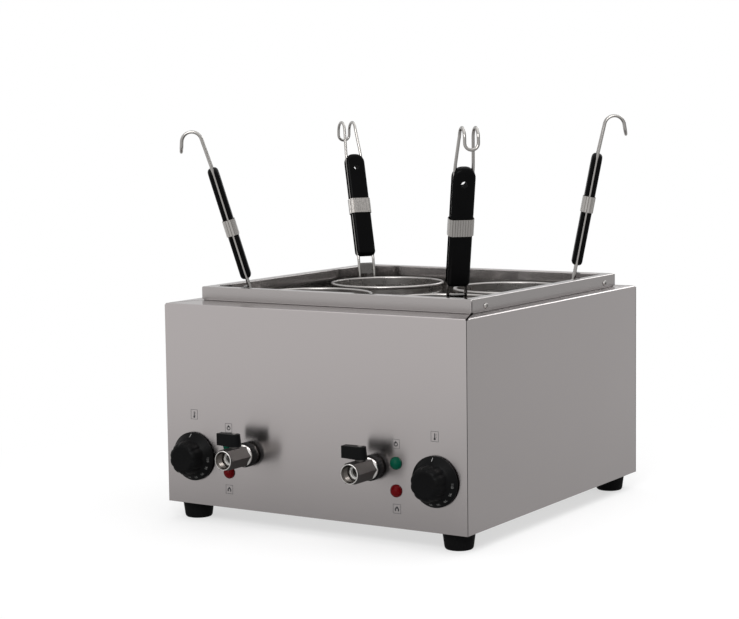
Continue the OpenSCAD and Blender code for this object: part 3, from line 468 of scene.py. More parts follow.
def combine(piece, otherBm, operation):
    other = toObject("other", otherBm)
    tool = piece.modifiers.new("combine", "BOOLEAN")
    tool.operation = operation
    tool.solver = "EXACT"
    tool.object = other
    settle(piece)
    discard(other)
    return piece


def cutAway(piece, cutterBm):
    return combine(piece, cutterBm, "DIFFERENCE")


def curveMesh(curve):
    holder = bpy.data.objects.new(curve.name, curve)
    scene.collection.objects.link(holder)
    graph = bpy.context.evaluated_depsgraph_get()
    mesh = bpy.data.meshes.new_from_object(holder.evaluated_get(graph))
    bm = bmesh.new()
    bm.from_mesh(mesh)
    bpy.data.meshes.remove(mesh)
    bpy.data.objects.remove(holder)
    bpy.data.curves.remove(curve)
    return bm


def thicken(piece, thickness, offset=0):
    tool = piece.modifiers.new("thickness", "SOLIDIFY")
    tool.thickness = thickness * mm
    tool.offset = offset
    tool.use_even_offset = True
    return settle(piece)


def layGrain(mesh, along):
    along = Vector(along)
    spare = Vector((along.y, along.z, along.x))
    layer = mesh.uv_layers.new(name="grain")
    for poly in mesh.polygons:
        across = poly.normal.cross(along)
        across = across.normalized() if across.length > 0.2 else spare
        for corner in poly.loop_indices:
            point = mesh.vertices[mesh.loops[corner].vertex_index].co
            layer.data[corner].uv = (point.dot(along), point.dot(across))


def addPiece(piece, body, finish, nodes=(), smooth=35, even=True):
    if isinstance(piece, tuple):
        piece = toObject(*piece)
    mesh = piece.data
    mesh.materials.clear()
    mesh.materials.append(finishes[finish])
    for poly in mesh.polygons:
        poly.use_smooth = True
    mesh.set_sharp_from_angle(angle=radians(smooth))
    if even:
        tool = piece.modifiers.new("evenShading", "WEIGHTED_NORMAL")
        tool.keep_sharp = True
        settle(piece)
    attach(piece, body)
    if nodes:
        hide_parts(*nodes)
    return piece


def paintFaces(piece, finish, test):
    piece.data.materials.append(finishes[finish])
    for poly in piece.data.polygons:
        if test(poly.center / mm, poly.normal):
            poly.material_index = len(piece.data.materials) - 1


# Cabinet panels: folded sheet with round bends, mitred deck edges and upstands
cabinet = {"halfW": 220.0, "frontY": -215.0, "backY": 250.0, "low": 22.0, "top": 277.0, "sheet": 1.2,
           "bend": 1.3, "standX": 198.0, "standFront": -163.0, "standBack": 227.0, "standZ": 287.0,
           "slit": 1.8, "slitShare": 0.4, "sideStart": 0.2, "returnW": 16.0, "holeReach": 6}
# places on the front and the back, shared by the holes and the pieces in them
control = {"valve": (92.0, 93.5), "knob": (177.5, 83.5), "knobScrew": 14.0, "lampX": 123.0,
           "lampZ": {"red": 67.3, "green": 100.6}, "gland": (-150.0, 58.0), "backScrewX": 212,
           "backScrewZ": (54, 247)}
holeR = {"valve": 10.8, "spindle": 5.1, "knobScrew": 2.1, "lamp": 6.0, "backScrew": 2.0, "gland": 8.1}


def frontHoles():
    x, z = control["knob"]
    half = [(*control["valve"], holeR["valve"]), (x, z, holeR["spindle"])]
    half += [(x + t * control["knobScrew"], z, holeR["knobScrew"]) for t in (-1, 1)]
    half += [(control["lampX"], lampZ, holeR["lamp"]) for lampZ in control["lampZ"].values()]
    return [(s * x, z, r) for s in (-1, 1) for x, z, r in half]


def backHoles():
    screws = [(s * control["backScrewX"], z, holeR["backScrew"]) for s in (-1, 1) for z in control["backScrewZ"]]
    return screws + [(*control["gland"], holeR["gland"])]


def foldedSheet(path, start, stop):
    bm, _, edges = openLine([(start, a, z) for a, z in path])
    pull(bm, edges, (stop - start, 0, 0))
    return roundEdges(bm, innerEdges(bm), cabinet["bend"], 5)


def wallPath(wall, stand):
    c, level = cabinet, cabinet["top"] - cabinet["sheet"] / 2
    return [(wall, c["low"]), (wall, level), (stand, level), (stand, c["standZ"])]


def trim(bm, point, normal, keepInner):
    level = cabinet["top"] - cabinet["sheet"] / 2 - cabinet["bend"] + 0.01
    upper = [g for g in bm.faces if g.calc_center_median().z > level]
    edges = list(dict.fromkeys(e for g in upper for e in g.edges))
    verts = list(dict.fromkeys(v for g in upper for v in g.verts))
    bmesh.ops.bisect_plane(bm, geom=verts + edges + upper, dist=1e-4, plane_co=point, plane_no=normal)
    gone = [g for g in bm.faces if g.calc_center_median().z > level
            and ((g.calc_center_median() - point).dot(normal) > 0) == keepInner]
    bmesh.ops.delete(bm, geom=gone, context="FACES")


def mitres():
    c, half = cabinet, cabinet["sheet"] / 2
    corners = []
    for yEdge, yIn in ((c["frontY"], c["standFront"] + 2 * half), (c["backY"], c["standBack"] - 2 * half)):
        run = Vector((c["standX"] - 2 * half - c["halfW"], yIn - yEdge, 0)).normalized()
        out = Vector((abs(run.y), -run.x if yIn > yEdge else run.x, 0))
        corners.append((Vector((c["halfW"], yEdge, 0)), out))
    return corners


def buildPanels():
    c, half = cabinet, cabinet["sheet"] / 2
    cornerFront, cornerBack = mitres()
    flip = Matrix.Scale(-1, 4, (1, 0, 0))
    for name, node, yEdge, yStand, s, corner, place, holes in (
            ("frontPanel", "front_panel", c["frontY"], c["standFront"], 1, cornerFront, onFront, frontHoles()),
            ("backPanel", "back_panel", c["backY"], c["standBack"], -1, cornerBack, onBack, backHoles())):
        bm = foldedSheet(wallPath(yEdge + s * half, yStand + s * half), -c["halfW"], c["halfW"])
        point, out = corner
        for t in (1, -1):
            side = Vector((t * out.x, out.y, 0))
            at = Vector((t * point.x, point.y, 0))
            trim(bm, at - side * c["slit"] * c["slitShare"], side, True)
        panel = thicken(toObject(name, evenNormals(bm)), c["sheet"])
        reach = c["holeReach"]
        cutAway(panel, joined(*[moved(rod(r, -reach, reach), place(x, z)) for x, z, r in holes]))
        layGrain(panel.data, (1, 0, 0))
        addPiece(panel, "cabinet", "panelSteel", [node], smooth=40)
    swap = Matrix(((0, 1, 0, 0), (1, 0, 0, 0), (0, 0, 1, 0), (0, 0, 0, 1)))
    for name, node, s in (("rightPanel", "right_panel", 1), ("leftPanel", "left_panel", -1)):
        xWall, xStand = c["halfW"] - half, c["standX"] - half
        start, stop = c["frontY"] + c["sheet"] + c["sideStart"], c["backY"] - c["sheet"] - c["sideStart"]
        bm = foldedSheet(wallPath(xWall, xStand), start, stop)
        moved(bm, swap)
        rear = [e for e in bm.edges if all(abs(v.co.y - stop) < 1e-3 and abs(v.co.x - xWall) < 1e-3 for v in e.verts)]
        pull(bm, rear, (-c["returnW"], 0, 0))
        for point, out in (cornerFront, cornerBack):
            trim(bm, point + out * c["slit"], out, False)
        if s < 0:
            moved(bm, flip)
        panel = thicken(toObject(name, evenNormals(bm)), c["sheet"])
        layGrain(panel.data, (0, 1, 0))
        addPiece(panel, "cabinet", "panelSteel", [node], smooth=40)


buildPanels()
print("stage: panels")

# Raised frame: flat lip, outer skirt and round-cornered inner skirt
raisedFrame = {"x": 199.5, "y0": -164.5, "y1": 228.5, "gapZ": 278.4, "top": 294.5, "lip": 13.0, "drop": 13.0,
               "corner": 2.2, "mouth": 10.5, "fold": 1.5, "sheet": 1.2, "seam": 0.9, "seamTop": 3.2,
               "seamReach": (0.4, 5.0)}


def roundedFace(bm, x0, y0, x1, y1, z, radius, segments):
    bevelled(bm, rectangle(bm, x0, y0, x1, y1, z).verts, radius, segments, affect="VERTICES")


def buildFrame():
    f = raisedFrame
    bm = bmesh.new()
    roundedFace(bm, -f["x"], f["y0"], f["x"], f["y1"], f["top"], f["corner"], 6)
    inX, inY0, inY1 = f["x"] - f["lip"], f["y0"] + f["lip"], f["y1"] - f["lip"]
    roundedFace(bm, -inX, inY0, inX, inY1, f["top"], f["mouth"], 6)
    bmesh.ops.delete(bm, geom=bm.faces[:], context="FACES_ONLY")
    bmesh.ops.bridge_loops(bm, edges=bm.edges[:])

    def inside(v):
        return abs(v.co.x) < inX + 0.5 and inY0 - 0.5 < v.co.y < inY1 + 0.5

    rims = [e for e in bm.edges if e.is_boundary]
    for edges, drop in (([e for e in rims if not all(inside(v) for v in e.verts)], f["top"] - f["gapZ"]),
                        ([e for e in rims if all(inside(v) for v in e.verts)], f["drop"])):
        pull(bm, edges, (0, 0, -drop))
    outward(bm, facesUp)
    roundEdges(bm, [e for e in sharpEdges(bm, 60) if all(abs(v.co.z - f["top"]) < 1e-3 for v in e.verts)],
               f["fold"], 4)
    whole = thicken(toObject("mouthFrame", bm), f["sheet"], -1)
    slits = []
    for s, turn in ((1, -45), (-1, -135)):
        near, far = f["seamReach"]
        slit = block((near, -f["seam"] / 2, f["gapZ"] - 2), (far, f["seam"] / 2, f["top"] - f["seamTop"]))
        corner = shift(s * (f["x"] - f["corner"]), f["y0"] + f["corner"], 0)
        slits.append(moved(slit, corner @ spun(radians(turn), "Z")))
    cutAway(whole, joined(*slits))
    layGrain(whole.data, (1, 0, 0))
    addPiece(whole, "cabinet", "frameSteel", ["tank_frame"], smooth=40)


buildFrame()
print("stage: frame")

# Closing sheets at both ends of the divider: a flared shelf and the end wall above it
dividerEnd = {"corner": 12.0, "halfW": 7.0, "ends": ((-153.0, -1), (217.0, 1)), "z": 258.0, "sheet": 1.2,
              "notch": 21.0, "wallTop": 286.0, "cutReach": 5, "edge": 0.2}


def buildDividerEnds():
    d = dividerEnd
    reach = d["halfW"] + d["corner"]
    shelves, rounds, walls = [], [], []
    for y, s in d["ends"]:
        inner = y - s * d["corner"]
        low, high = sorted((inner, y + s * d["sheet"]))
        shelves.append(block((-reach, low, d["z"]), (reach, high, d["z"] + d["sheet"])))
        rounds += [moved(rod(d["corner"], d["z"] - d["cutReach"], d["z"] + d["cutReach"], 64),
                         shift(t * reach, inner, 0)) for t in (-1, 1)]
        low, high = sorted((y, y + s * d["sheet"]))
        walls.append(block((-d["notch"], low, d["z"]), (d["notch"], high, d["wallTop"])))
    shelf = cutAway(toObject("dividerShelves", joined(*shelves)), joined(*rounds))
    addPiece(shelf, "cabinet", "wellSteel")
    walls = joined(*walls)
    roundEdges(walls, sharpEdges(walls), d["edge"], 2)
    addPiece(("dividerWalls", walls), "cabinet", "wellSteel")


buildDividerEnds()
print("stage: divider ends")

# Screws with a domed head and a cross recess
panScrew = {"headR": 3.6, "headH": 2.2, "shankR": 1.9, "shank": 7.0, "slotW": 0.9, "slotL": 4.0, "slotD": 1.2,
            "dome": ((0, 1), (0.55, 0.94), (0.86, 0.68), (1, 0.25), (1, 0)), "frameY": (-131.0, 194.5),
            "frameZ": 284.0}


def crossScrew():
    p = panScrew
    head = [(p["headR"] * across, p["headH"] * up) for across, up in p["dome"]]
    return lathe(head + [(p["shankR"], 0), (p["shankR"], -p["shank"]), (0, -p["shank"])], 24)


def slotBar(sx, sy):
    p = panScrew
    return block((-sx / 2, -sy / 2, p["headH"] - p["slotD"]), (sx / 2, sy / 2, p["headH"] + 1))


def buildScrews():
    spots = []
    for s in (-1, 1):
        turn = spun(s * pi / 2, "Y")
        spots += [shift(s * raisedFrame["x"], y, panScrew["frameZ"]) @ turn @ spun(0.5 + y, "Z")
                  for y in panScrew["frameY"]]
        spots += [onBack(s * control["backScrewX"], z) @ spun(z, "Z") for z in control["backScrewZ"]]
    screws = toObject("sheetScrews", joined(*[moved(crossScrew(), spot) for spot in spots]))
    for size in ((panScrew["slotL"], panScrew["slotW"]), (panScrew["slotW"], panScrew["slotL"])):
        cutAway(screws, joined(*[moved(slotBar(*size), spot) for spot in spots]))
    addPiece(screws, "cabinet", "screwSteel", ["sheet_screws"], smooth=40)


buildScrews()

# Rubber feet
rubberFoot = {"topR": 20.0, "floorR": 17.0, "height": 22.0, "wellR": 7.0, "wellH": 8.8, "screwR": 2.6,
              "toe": ((-2.6, 0), (-1.1, 0.45), (0.1, 1.7), (0.6, 3.4)),
              "brow": ((-0.5, -4.5), (0, -3.2), (0, -0.7), (-0.7, 0)), "insetX": 193.0, "frontY": -188.0,
              "backY": 223.0}


def buildFeet():
    f = rubberFoot
    profile = [(f["screwR"], f["wellH"]), (f["wellR"], f["wellH"]), (f["wellR"], 0)]
    profile += [(f["floorR"] + out, up) for out, up in f["toe"]]
    profile += [(f["topR"] + out, f["height"] + up) for out, up in f["brow"]] + [(f["screwR"], f["height"])]
    feet = [moved(lathe(profile, 56), shift(s * f["insetX"], y, 0))
            for s in (-1, 1) for y in (f["frontY"], f["backY"])]
    addPiece(("rubberFeet", joined(*feet)), "cabinet", "footRubber", ["feet"])


buildFeet()
print("stage: screws and feet")

# Thermostat knobs: skirt with a sloped dial, fluted grip, printed index and numbers
dial = {"skirtR": 30.8, "gap": 1.0, "rim": 3.0, "coneS": 10.0, "coneR": 24.0, "gripR": 22.0, "boreEnd": 18.1,
        "crown": ((-0.3, 15), (-0.6, 18.5), (-1.0, 21.5), (-1.7, 23.8), (-2.8, 25.6), (-4.3, 27.0), (-6.2, 27.8),
                  (-7.4, 28.0), (-8.4, 27.8)),
        "boreR": 3.1, "bossR": 6.5, "bossS": 5.5, "hollowR": 18.0, "hollowS": 7.5, "flutes": 10, "fluteDepth": 1.0,
        "fluteIn": 5.5, "fluteSpan": (1.5, 27.2), "index": 91, "indexR": 27.2, "indexHalf": (0.32, 2.7),
        "indexLift": (-0.05, 0.1), "numberR": 26.6, "numberSize": 4.4, "numberLift": 0.06,
        "numbers": (("30", -95), ("50", -73), ("70", -50), ("90", -27), ("110", -3))}


def knobBody():
    d = dial
    skirt, cone, r, gap, coneS = d["skirtR"], d["coneR"], d["gripR"], d["gap"], d["coneS"]
    edge = gap + d["rim"]
    bm = lathe([(d["boreR"], d["boreEnd"]), (d["boreR"], d["bossS"]), (d["bossR"], d["bossS"]),
                (d["bossR"], d["hollowS"]), (d["hollowR"], d["hollowS"]), (d["hollowR"], gap), (skirt - 0.5, gap),
                (skirt, gap + 0.5), (skirt, edge - 0.6), (skirt - 0.5, edge), (cone + 0.6, coneS - 0.45),
                (cone - 0.5, coneS + 0.3), (r + 0.5, coneS + 1.0), (r, coneS + 2.4)]
               + [(r + out, up) for out, up in d["crown"]] + [(8.0, 27.6), (0, 27.5)], 144)
    bm.verts.ensure_lookup_table()
    closing = [v for v in bm.verts if abs(v.co.z - d["boreEnd"]) < 1e-3 and v.co.xy.length < 4]
    bmesh.ops.contextual_create(bm, geom=closing)
    low, high = d["fluteSpan"]
    return evenNormals(cutFlutes(bm, d["flutes"], d["fluteDepth"], r - d["fluteIn"], coneS + low, high, 3))


def dialPlace(angle, radius):
    d = dial
    slope = Vector((d["skirtR"] - d["coneR"], -(d["coneS"] - d["gap"] - d["rim"]))).normalized()
    a = radians(angle)
    away = Vector((cos(a), sin(a), 0))
    yAxis = away * slope.x + Vector((0, 0, slope.y))
    zAxis = away * -slope.y + Vector((0, 0, slope.x))
    xAxis = yAxis.cross(zAxis)
    share = (d["skirtR"] - radius) / (d["skirtR"] - d["coneR"])
    height = d["gap"] + d["rim"] + share * (d["coneS"] - d["gap"] - d["rim"])
    place = Matrix((xAxis, yAxis, zAxis)).transposed().to_4x4()
    place.translation = away * radius + Vector((0, 0, height))
    return place


def numberMesh(words, size):
    curve = bpy.data.curves.new("dialNumber", "FONT")
    curve.body = words
    curve.size = size
    curve.align_x, curve.align_y = "CENTER", "CENTER"
    curve.extrude = dial["numberLift"]
    return curveMesh(curve)


def buildKnobs():
    d = dial
    (halfW, halfL), (low, high) = d["indexHalf"], d["indexLift"]
    for body, s in (("knob_left", -1), ("knob_right", 1)):
        place = onFront(s * control["knob"][0], control["knob"][1])
        addPiece((body + "_cap", moved(knobBody(), place)), body, "knobPlastic", [body])
        line = moved(block((-halfW, -halfL, low), (halfW, halfL, high)), dialPlace(d["index"], d["indexR"]))
        marks = joined(*[moved(numberMesh(words, d["numberSize"]), dialPlace(angle, d["numberR"]))
                         for words, angle in d["numbers"]])
        for part, shape, ink in (("_index", line, "indexInk"), ("_marks", marks, "numberInk")):
            addPiece((body + part, moved(shape, place)), body, ink, even=False)


buildKnobs()
print("stage: knobs")

# Drain valves: hexagon body with a threaded outlet, collar, stem boss, lever and lock ring
drainValve = {"reach": 55.0, "flats": 24.0, "ringR": 15.4, "ringT": 12.4, "collarR": 13.8,
              "collarT": 4.4, "stemS": 30.0, "bossR": 6.5, "bossH": 15.0, "threadR": 9.3, "threadL": 12.0,
              "pitch": 1.6, "mouthR": 11.1, "leverZ": 14.3, "leverH": 15.0, "leverL": 23.5, "leverW": 11.0,
              "leverStep": 0.3, "leverTip": 2, "leverEdge": 1.2, "hubR": 8.5, "hubTaper": 1.5, "neckR": 12.6,
              "neckL": 3.0, "pipeR": 10.55, "pipeEnd": 18.6,
              "chamberR": 10.2, "chamberEnd": 41.3, "seatR": 8.0, "stemR": 3.55, "screwR": 3.5, "screwSink": 2.0,
              "tang": (3.6, 2.7), "roof": 4.4, "knurls": 24, "knurlDepth": 0.5, "knurlFrom": 15.0, "knurlLow": 0.8,
              "lip": ((-0.6, -8), (0, -2.2), (0, -0.5), (-0.3, 0)), "collar": ((-0.3, 0), (0, 0.3), (-0.2, 2.0)),
              "hexEdge": 0.5, "hexEnd": 2.0, "bossFrom": 4, "bossEdge": 0.7}


def stemTurn():
    return shift(0, 0, drainValve["stemS"]) @ spun(-pi / 2, "X")


def valveShell(name, place):
    v = drainValve
    half, end, ring, collarEnd = v["flats"] / 2, v["reach"], v["ringT"], v["ringT"] + v["collarT"]
    hexagon = rod(half / cos(pi / 6), ring + v["collarT"] * 0.5, end - v["hexEnd"], 6)
    moved(hexagon, spun(pi / 6, "Z"))
    roundEdges(hexagon, sharpEdges(hexagon, 20), v["hexEdge"], 2)
    lip = [(half + out, end + up) for out, up in v["lip"]]
    lip = lathe([(0, lip[0][1]), *lip, (0, end)], 64)
    collar = [(v["collarR"] + out, ring + up) for out, up in v["collar"]]
    collar = lathe([(0, ring), *collar, (half - 0.4, collarEnd), (0, collarEnd)], 64)
    low, high, r, edge = v["bossFrom"], v["bossH"], v["bossR"], v["bossEdge"]
    boss = moved(lathe([(0, low), (r, low), (r, high - edge), (r - edge, high), (0, high)], 48), stemTurn())
    whole = toObject(name, moved(hexagon, place))
    for other in (lip, collar, boss):
        combine(whole, moved(other, place), "UNION")
    return whole


def valveBore():
    v = drainValve
    profile = [(0, v["ringT"] - 1), (v["pipeR"], v["ringT"] - 1), (v["pipeR"], v["pipeEnd"]),
               (v["chamberR"], v["pipeEnd"] + 0.1), (v["chamberR"], v["chamberEnd"]),
               (v["seatR"], v["chamberEnd"] + 0.1), (v["seatR"], v["reach"] - v["threadL"])]
    turns = int((v["threadL"] - 1.8) / v["pitch"])
    for k in range(turns):
        s = v["reach"] - v["threadL"] + (k + 0.25) * v["pitch"]
        profile += [(v["threadR"] + 0.9, s), (v["threadR"], s + 0.5 * v["pitch"])]
    profile += [(v["mouthR"], v["reach"] - 0.05), (v["mouthR"], v["reach"] + 1), (0, v["reach"] + 1)]
    return lathe(profile, 48)


def stemHole():
    return moved(rod(drainValve["stemR"], 0, drainValve["bossH"] + 2), stemTurn())


def leverShape():
    v = drainValve
    top = v["leverZ"] + v["leverH"]
    tip = block((-v["leverL"], -v["leverW"] / 2, v["leverZ"] + v["leverStep"]),
                (-v["leverL"] + v["leverTip"], v["leverW"] / 2, top))
    hub = rod(v["hubR"], v["leverZ"], top, 40, v["hubTaper"])
    bm = bmesh.new()
    for part in (tip, hub):
        for corner in part.verts:
            bm.verts.new(corner.co)
        part.free()
    hull = bmesh.ops.convex_hull(bm, input=bm.verts)
    bmesh.ops.delete(bm, geom=vertsOf(hull["geom_interior"]), context="VERTS")
    bmesh.ops.dissolve_limit(bm, angle_limit=radians(1), verts=bm.verts, edges=bm.edges)
    return roundEdges(bm, sharpEdges(evenNormals(bm)), v["leverEdge"], 3)


def buildValves():
    v = drainValve
    x, z = control["valve"]
    top = v["leverZ"] + v["leverH"]
    tangX, tangY = v["tang"]
    for name, s in (("left", -1), ("right", 1)):
        place = onFront(s * x, z)
        shell = valveShell("valve_" + name + "_shell", place)
        cutAway(shell, moved(valveBore(), place))
        cutAway(shell, moved(stemHole(), place))
        addPiece(shell, "cabinet", "valveNickel", ["valve_body_" + name], smooth=28)
        axis = Vector((s * x, cabinet["frontY"], z))

        def spread(c):
            return hypot(c.x - axis.x, c.z - axis.z)

        # painted shade: the faces inside the outlet bore and its thread get a dark finish
        paintFaces(shell, "boreShade", lambda c, n: spread(c) < v["mouthR"] and axis.y - c.y > v["ringT"]
                   and n.x * (c.x - axis.x) + n.z * (c.z - axis.z) < 0.5 and axis.y - c.y < v["reach"] - 0.01)
        paintFaces(shell, "polished", lambda c, n: spread(c) > v["flats"] / 2 - 1
                   and (axis.y - c.y < v["ringT"] + v["collarT"] or (n.y < -0.3 and axis.y - c.y > v["reach"] - 0.6)))
        stem = shift(s * x, cabinet["frontY"] - v["stemS"], z)
        lever = toObject("valve_" + name + "_handle", moved(leverShape(), stem))
        recess = joined(rod(v["screwR"], top - v["screwSink"], top + 1),
                        block((-tangX, -tangY, v["bossH"]), (tangX, tangY, top - v["roof"])),
                        rod(v["bossR"] + 0.4, v["leverZ"] - 1, v["bossH"] + 0.5))
        cutAway(lever, moved(recess, stem))
        addPiece(lever, "valve_" + name, "leverPlastic", ["valve_lever_" + name], smooth=30)
    rings = []
    for s in (-1, 1):
        ring = lathe([(v["pipeR"], 0), (v["neckR"], 0), (v["neckR"], v["neckL"]),
                      (v["ringR"] - 0.4, v["neckL"] + 0.2), (v["ringR"], v["neckL"] + 0.6),
                      (v["ringR"], v["ringT"] - 1.2), (v["ringR"] - 1.0, v["ringT"]), (v["pipeR"], v["ringT"])], 96)
        cutFlutes(ring, v["knurls"], v["knurlDepth"], v["knurlFrom"], v["knurlLow"], v["ringT"])
        rings.append(moved(ring, onFront(s * x, z)))
    rings = addPiece(("lockRings", joined(*rings)), "cabinet", "blackNylon", ["valve_lock_rings"])
    paintFaces(rings, "polished", lambda c, n: cabinet["frontY"] - c.y < v["neckL"] - 0.1)


buildValves()
print("stage: valves")

# Signal lamps with a faceted dome
lamp = {"headR": 7.7, "barrelR": 5.85, "barrelL": 28.0, "facets": 14,
        "flange": ((-0.3, 0), (0, 0.4), (0, 1.4), (-0.3, 1.9), (-0.6, 2.0)), "seat": ((-0.6, 1.8), (-0.6, 2.2)),
        "dome": ((0.82, 3.9), (0.62, 5.5), (0.36, 6.6), (0.12, 7.0), (0, 7.0))}


def lampShape():
    p = lamp
    r = p["headR"]
    head = lathe([(0, 0)] + [(r + out, up) for out, up in p["flange"]], 56)
    dome = lathe([(r + out, up) for out, up in p["seat"]] + [(r * share, up) for share, up in p["dome"]], p["facets"])
    barrel = rod(p["barrelR"], -p["barrelL"], 0.2)
    return joined(head, dome, barrel)


def buildLamps():
    for name, z in control["lampZ"].items():
        both = joined(*[moved(lampShape(), onFront(s * control["lampX"], z)) for s in (-1, 1)])
        addPiece((name + "Lamps", both), "cabinet", name + "Lens", [name + "_lamps"], smooth=12,
                 even=False)


buildLamps()

# Printed signs beside the controls: framed thermometer, power and flame
sign = {"line": 0.5, "lift": 0.08, "gap": 0.02, "thermo": (176.6, 137, 10.5, 12.5),
        "power": (123, 123.8, 10.5, 11.5), "flame": (123.6, 45.6, 11, 11.5), "tube": (-0.6, -2.2, 0.6, 3.8),
        "bulb": (1.5, 0, -3.0), "tickX": (1.3, 2.6), "tickY": (2.6, 0.6, -1.4), "tickH": 0.5,
        "powerRing": (2.8, 1.1, 0, -0.3), "powerBar": (-0.55, 0.4, 0.55, 3.6), "flameRing": (3.0, 1.7, 0, -1.0),
        "flameFoot": -2.3, "flameLift": 0.9, "flamePinch": 0.25}


def framedSign(width, height):
    bm = bmesh.new()
    face = rectangle(bm, -width / 2, -height / 2, width / 2, height / 2)
    bm.normal_update()
    bmesh.ops.inset_region(bm, faces=[face], thickness=sign["line"], use_boundary=True, use_even_offset=True)
    bmesh.ops.delete(bm, geom=[face], context="FACES_ONLY")
    return bm


def discShape(radius, x, y):
    bm = bmesh.new()
    bmesh.ops.create_circle(bm, cap_ends=True, segments=20, radius=radius)
    return moved(bm, shift(x, y, 0))


def barShape(x0, y0, x1, y1):
    bm = bmesh.new()
    rectangle(bm, x0, y0, x1, y1)
    return bm


def ringShape(radius, line, x, y):
    bm = bmesh.new()
    for r in (radius, radius - line):
        bmesh.ops.create_circle(bm, cap_ends=False, segments=24, radius=r)
    bmesh.ops.bridge_loops(bm, edges=bm.edges[:])
    return moved(bm, shift(x, y, 0))


def flameShape():
    bm = ringShape(*sign["flameRing"])
    low = [g for g in bm.faces if g.calc_center_median().y < sign["flameFoot"]]
    bmesh.ops.delete(bm, geom=low, context="FACES")
    radius, middle = sign["flameRing"][0], sign["flameRing"][3]
    for v in bm.verts:
        lift = max(0.0, (v.co.y - middle) / radius)
        v.co.y += sign["flameLift"] * lift ** 2
        v.co.x *= 1 - sign["flamePinch"] * lift
    return bm


def buildSigns():
    frames, pictures = [], []
    near, far = sign["tickX"]
    for s in (-1, 1):
        ticks = [barShape(near, y, far, y + sign["tickH"]) for y in sign["tickY"]]
        thermo = joined(barShape(*sign["tube"]), discShape(*sign["bulb"]), *ticks)
        power = joined(ringShape(*sign["powerRing"]), barShape(*sign["powerBar"]))
        for kind, shape in (("thermo", thermo), ("power", power), ("flame", flameShape())):
            x, z, *size = sign[kind]
            frames.append(moved(framedSign(*size), onFront(s * x, z)))
            pictures.append(moved(shape, onFront(s * x, z)))
    for name, parts, ink in (("signFrames", frames, "frameInk"), ("signPictures", pictures, "darkInk")):
        prints = joined(*parts)
        bmesh.ops.translate(prints, vec=(0, -sign["gap"], 0), verts=prints.verts)
        evenNormals(prints).normal_update()
        bmesh.ops.reverse_faces(prints, faces=[g for g in prints.faces if g.normal.y > 0])
        addPiece(thicken(toObject(name, prints), sign["lift"], 1), "cabinet", ink, even=False)


buildSigns()
print("stage: lamps and signs")

# Cable gland at the back
gland = {"boreR": 4.5, "threadR": 8.0, "hexR": 12.0, "hexT": 6.0, "nut": (-6.2, -1.2), "reach": 20.0, "tail": 14.0,
         "cap": ((2, 0.5), (2, 14.5), (1.2, 17.0), (-0.6, 19.2)), "ribs": 15, "ribDepth": 0.7, "ribFrom": (1, 5),
         "cutReach": 20}


def buildGland():
    g = gland
    place = onBack(*control["gland"])
    bore, thread, tail, end = g["boreR"], g["threadR"], -g["tail"], g["reach"]
    cap = [(thread + out, up) for out, up in g["cap"]]
    dome = lathe([(bore, tail), (thread, tail), (thread, cap[0][1]), *cap, (bore + 1.2, end), (bore, end - 0.8)], 60)
    cutFlutes(dome, g["ribs"], g["ribDepth"], thread + g["ribFrom"][0], g["ribFrom"][1], end + 1)
    nuts = []
    for low, high in ((0, g["hexT"]), g["nut"]):
        nut = rod(g["hexR"], low, high, 6)
        roundEdges(nut, sharpEdges(nut), 0.7, 2)
        nuts.append(nut)
    hexes = toObject("glandHexes", moved(joined(*nuts), place))
    cutAway(hexes, moved(rod(thread + 0.05, -g["cutReach"], g["cutReach"], 48), place))
    addPiece(hexes, "cabinet", "blackNylon", ["cable_gland"])
    addPiece(("glandDome", moved(dome, place)), "cabinet", "blackNylon", ["cable_gland"])


buildGland()
print("stage: gland")

# Baskets: perforated wall, rolled rim, dished floor
basket = {"radius": 75.0, "sheet": 0.9, "rimR": 76.2, "beadR": 2.2, "rimZ": 279.0, "floorZ": 111.05, "bevel": 8.0,
          "columns": 110, "hole": 2.75, "beadSteps": 14, "topBand": 7.0, "lowBand": 7.0, "floorPitch": 6.0,
          "floorHole": 4.2,
          "centres": ((-97.5, -60.5), (-97.5, 124.5), (97.5, -60.5), (97.5, 124.5))}


def holedSheet(columns, rows, pitch, hole):
    bm = bmesh.new()
    for corner in (pitch, hole):
        bmesh.ops.create_circle(bm, cap_ends=False, segments=4, radius=corner / 2)
    bmesh.ops.bridge_loops(bm, edges=bm.edges[:])
    cell = bm.verts[:] + bm.edges[:] + bm.faces[:]
    for k in range(1, columns):
        repeat(bm, cell, (k * pitch, 0, 0))
    line = bm.verts[:] + bm.edges[:] + bm.faces[:]
    for k in range(1, rows):
        repeat(bm, line, ((k % 2) * pitch / 2, k * pitch / 2, 0))
    return bm


def basketWall():
    b = basket
    pitch = 2 * pi * b["radius"] / b["columns"]
    low, high = b["floorZ"] + b["bevel"] + b["lowBand"] - 1, b["rimZ"] - b["topBand"]
    rows = int((high - low) / (pitch / 2)) + 1
    bm = holedSheet(b["columns"], rows, pitch, b["hole"])
    for v in bm.verts:
        turn = v.co.x / b["radius"]
        v.co = Vector((b["radius"] * cos(turn), b["radius"] * sin(turn), low + v.co.y))
    bmesh.ops.remove_doubles(bm, verts=bm.verts, dist=0.02)
    return thicken(toObject("basketWall", outward(bm, facesAway, 200)), b["sheet"], -1)


